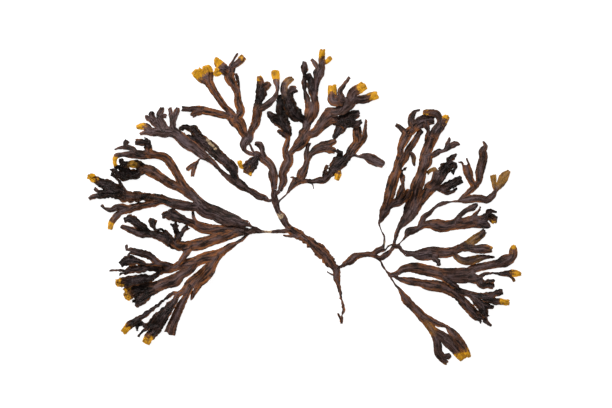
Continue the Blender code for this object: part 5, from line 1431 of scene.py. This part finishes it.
def closed_leaf(frond, name):
    """A mesh of both faces and the wall: upper and lower points are the middle ones plus and minus
    half the thickness, straight up and down, and the lower ones stay on or above the sheet."""
    flat = {key: np.concatenate([grid[key].reshape(-1, *grid[key].shape[2:]) for grid in frond.fields])
            for key in frond.fields[0]}
    local = [np.concatenate(frond.quads), np.concatenate(frond.triangles or [np.zeros((0, 3), int)])]
    local += [face[:, ::-1] for face in local]
    used = np.unique(np.concatenate([frond.weld[face].ravel() for face in local]))
    number = np.zeros(len(frond.weld), int)
    number[used] = np.arange(len(used))
    count = len(used)
    faces = [number[frond.weld[face]] for face in local]
    a, b = outline_of([face for face in faces[:2] if len(face)]).T
    faces[2:] = [face + count for face in faces[2:]]
    faces.append(np.stack([b, a, a + count, b + count], axis=1))
    middle, half = flat["place"][used], flat["thick"][used, None] / 2
    upper, lower = middle + half * (0, 0, 1), middle - half * (0, 0, 1)
    lower[:, 2] = np.maximum(lower[:, 2], 0.0)
    points = np.concatenate([upper, lower]) * MM
    mesh = bpy.data.meshes.new(name)
    mesh.from_pydata(points.tolist(), [], [face for part in faces for face in part.tolist()])
    streak = flat["streak"]
    corners = [streak[face] for face in local] + [streak[used][np.stack([b, a, a, b], axis=1)]]
    uv = mesh.uv_layers.new(name="strap").data
    uv.foreach_set("uv", np.concatenate([corner.reshape(-1) for corner in corners]) / UV_UNIT)
    for key in FIELDS:
        layer = mesh.attributes.new(key, "FLOAT", "POINT")
        layer.data.foreach_set("value", np.tile(flat[key][used], 2))
    mesh.update()
    mesh.shade_smooth()
    mesh.set_sharp_from_angle(angle=math.radians(SHARP_ANGLE))
    return mesh


# %% [markdown]
# ## The finish of dried weed
# Dried fucus is dark brown leather. Its rib shows a greyish-blue sheen, which is a painted
# highlight in the colour; thin margins let rust brown through, and ripe tips dry to amber. A
# picture laid over the plant would fit one view only. Here the colour follows fields that the mesh
# carries, such as the distance to the nearest edge, and noises that run along each strap, so it is
# worked out from the plant's own form.

# %% Shader maths in Python
class Wire:
    """One socket of a material, used like a number: an expression adds its Math nodes."""

    def __init__(self, tree, socket=None):
        self.tree = tree
        self.socket = socket

    def make(self, kind, settings=(), values=(), output=0):
        """Adds a node of this type: first its settings, then a value or a link for each socket."""
        node = self.tree.nodes.new(kind)
        for key, setting in dict(settings).items():
            setattr(node, key, setting)
        for key, value in dict(values).items():
            if isinstance(value, Wire):
                self.tree.links.new(value.socket, node.inputs[key])
            else:
                node.inputs[key].default_value = value
        return Wire(self.tree, node.outputs[output])

    def math(self, operation, first, second):
        """A Math node."""
        return self.make("ShaderNodeMath", {"operation": operation}, {0: first, 1: second})

    def __add__(self, other):
        return self.math("ADD", self, other)

    def __sub__(self, other):
        return self.math("SUBTRACT", self, other)

    def __mul__(self, other):
        return self.math("MULTIPLY", self, other)

    def __radd__(self, other):
        return self.math("ADD", other, self)

    def __rsub__(self, other):
        return self.math("SUBTRACT", other, self)

    def __rmul__(self, other):
        return self.math("MULTIPLY", other, self)

    def between(self, low, high):
        """Nothing at low, one at high, smooth between: a Map Range node."""
        settings = {"interpolation_type": "SMOOTHSTEP"}
        values = {"Value": self, "From Min": low, "From Max": high}
        return self.make("ShaderNodeMapRange", settings, values)

    def towards(self, factor, colour):
        """This colour mixed towards another by the factor."""
        values = {0: factor, 6: self, 7: colour}
        return self.make("ShaderNodeMix", {"data_type": "RGBA"}, values, output=2)


# %% Fields and noises
weed = bpy.data.materials.new("dried_weed")
weed.use_nodes = True
start = Wire(weed.node_tree)
rib, rim, ripe, worn, tone, rust, dark, grey, amber = (
    start.make("ShaderNodeAttribute", {"attribute_name": key}, output=2) for key in FIELDS
)
along_strap = start.make("ShaderNodeUVMap", {"uv_map": "strap"})
by_place = start.make("ShaderNodeTexCoord", output=3)


def noise(vector, x, y, z, detail=3.0):
    """A noise between 0 and 1 on a vector stretched by (x, y, z)."""
    scaled = start.make("ShaderNodeVectorMath", {"operation": "MULTIPLY"}, {0: vector, 1: (x, y, z)})
    values = {"Vector": scaled, "Scale": 1.0, "Detail": detail, "Roughness": 0.6}
    return start.make("ShaderNodeTexNoise", {}, values)


streaks = noise(along_strap, 8, 1.1, 1)
fibres = noise(along_strap, 30, 4, 1, 2.0)
patches = noise(by_place, 80, 80, 80)
mottle = noise(by_place, 330, 330, 330)
specks = noise(by_place, 900, 900, 900, 2.0)
print(len(weed.node_tree.nodes), "nodes read the fields and make the noises")

# %% [markdown]
# Each colour is laid over the ones before it, where its own mask says. Black and brown come
# first, in streaks along the strap. A greyish-blue sheen is painted on the rib and in the middle
# of a blade: a painted highlight, less on the dark clumps.
# Rust shows at the margin, where the weed is thin enough to let light through.

# %% Brown, painted sheen and rust
BLACK = (0.006, 0.004, 0.003, 1)
BROWN = (0.072, 0.034, 0.024, 1)
# The third colour is a painted highlight: the greyish-blue sheen of the ribs, laid into the colour.
PAINTED_SHEEN = (0.145, 0.104, 0.113, 1)
RUST = (0.300, 0.095, 0.018, 1)

brightness = streaks * 1.3 + mottle * 0.5 + patches * 0.6 + fibres * 0.6 + tone * 0.1 - dark * 0.45
black = start.make("ShaderNodeMix", {"data_type": "RGBA"}, {0: 0.0, 6: BLACK, 7: BLACK}, output=2)
colour = black.towards(brightness.between(1.1, 1.9), BROWN)
# Painted highlight: the sheen is painted into the colour on the rib and in the middle of a blade,
# weaker on the dark clumps and broken up by patches and streaks.
middle = rim.between(0.7, 3.0)
painted_sheen = (grey * 0.5 + middle * 0.25 + rib * 0.4 + 0.08) * (1 - dark * 0.6)
colour = colour.towards(painted_sheen * (patches * 0.4 + streaks * 0.6).between(0.42, 0.62), PAINTED_SHEEN)
margin = (1 - rim.between(0.1, 1.6)) * (1 - dark * 0.5) * patches.between(0.4, 0.6)
rusty = (rust * 0.7 + margin * 0.8 + 0.06) * (1 - rib * 0.8)
colour = colour.towards(rusty * (mottle * 0.25 + streaks * 0.75).between(0.4, 0.62), RUST)
print(len(weed.node_tree.nodes), "nodes with brown, grey and rust")

# %% [markdown]
# Ripe tips pass through rust before they turn amber. The amber starts at a broken line, which a
# mottle draws, since a tip doesn't ripen evenly. The scars are pale tan and lie over all else.

# %% Amber tips and scars
AMBER = (0.700, 0.330, 0.012, 1)
TAN = (0.560, 0.400, 0.240, 1)

colour = colour.towards(ripe.between(0.05, 0.6) * 0.5 * streaks.between(0.3, 0.6), RUST)
golden = (ripe * 1.3 + mottle * 2.0 - 1.45).between(0.0, 0.4) * ripe.between(0, 0.1)
golden = golden + amber * patches.between(0.42, 0.6) * 0.5
lively = 0.5 + 0.5 * (mottle * 0.6 + streaks * 0.4).between(0.38, 0.56)
colour = colour.towards(golden * lively, AMBER)
colour = colour.towards(worn.between(0.2, 0.8) * 0.75, TAN)
print(len(weed.node_tree.nodes), "nodes with amber and tan")

# %% [markdown]
# Dry weed is dull, with a weak gloss where it is smoothest, in the light streaks and on the dark
# clumps. Fibres, mottle and specks are too fine for the mesh, so they are a bump, and it is twice
# as deep on the dark clumps, where the skin has shrivelled most.

# %% Gloss and grain
DULLNESS = 0.16
GRAIN_DEPTH = 0.0006

roughness = 0.62 - 0.25 * streaks - 0.15 * dark
height = (fibres * 0.5 + mottle * 1.2 + streaks + specks * 0.3) * (1 + dark)
bump = start.make(
    "ShaderNodeBump", {}, {"Strength": 1.0, "Distance": GRAIN_DEPTH, "Height": height}
)
shader = weed.node_tree.nodes["Principled BSDF"]
shader.inputs["Specular IOR Level"].default_value = DULLNESS
for socket, value in {"Base Color": colour, "Roughness": roughness, "Normal": bump}.items():
    weed.node_tree.links.new(value.socket, shader.inputs[socket])
print(len(weed.node_tree.nodes), "nodes in the whole finish")

# %% [markdown]
# ## The fronds take their solids' places
# Every solid of the frame is one frond or the stipe. The fine fronds could be one mesh, but then
# no frond could be found by its name. Each has its solid's name and rides on the one body that
# the plant is.

# %% Fine fronds
total = 0
for this in straps:
    if this.parent and this.node == this.parent.node:
        continue
    frond = Frond()
    frond.add_strap(this, None, None)
    mesh = closed_leaf(frond, "fine_" + this.node)
    mesh.materials.append(weed)
    piece = add_object("fine_" + this.node, mesh)
    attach(piece, "root")
    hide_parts(this.node)
    this.node + "_weed"
    triangles = sum(len(face.vertices) - 2 for face in mesh.polygons)
    total += triangles
    print(piece.name, triangles, "triangles")
print("together", total, "triangles")
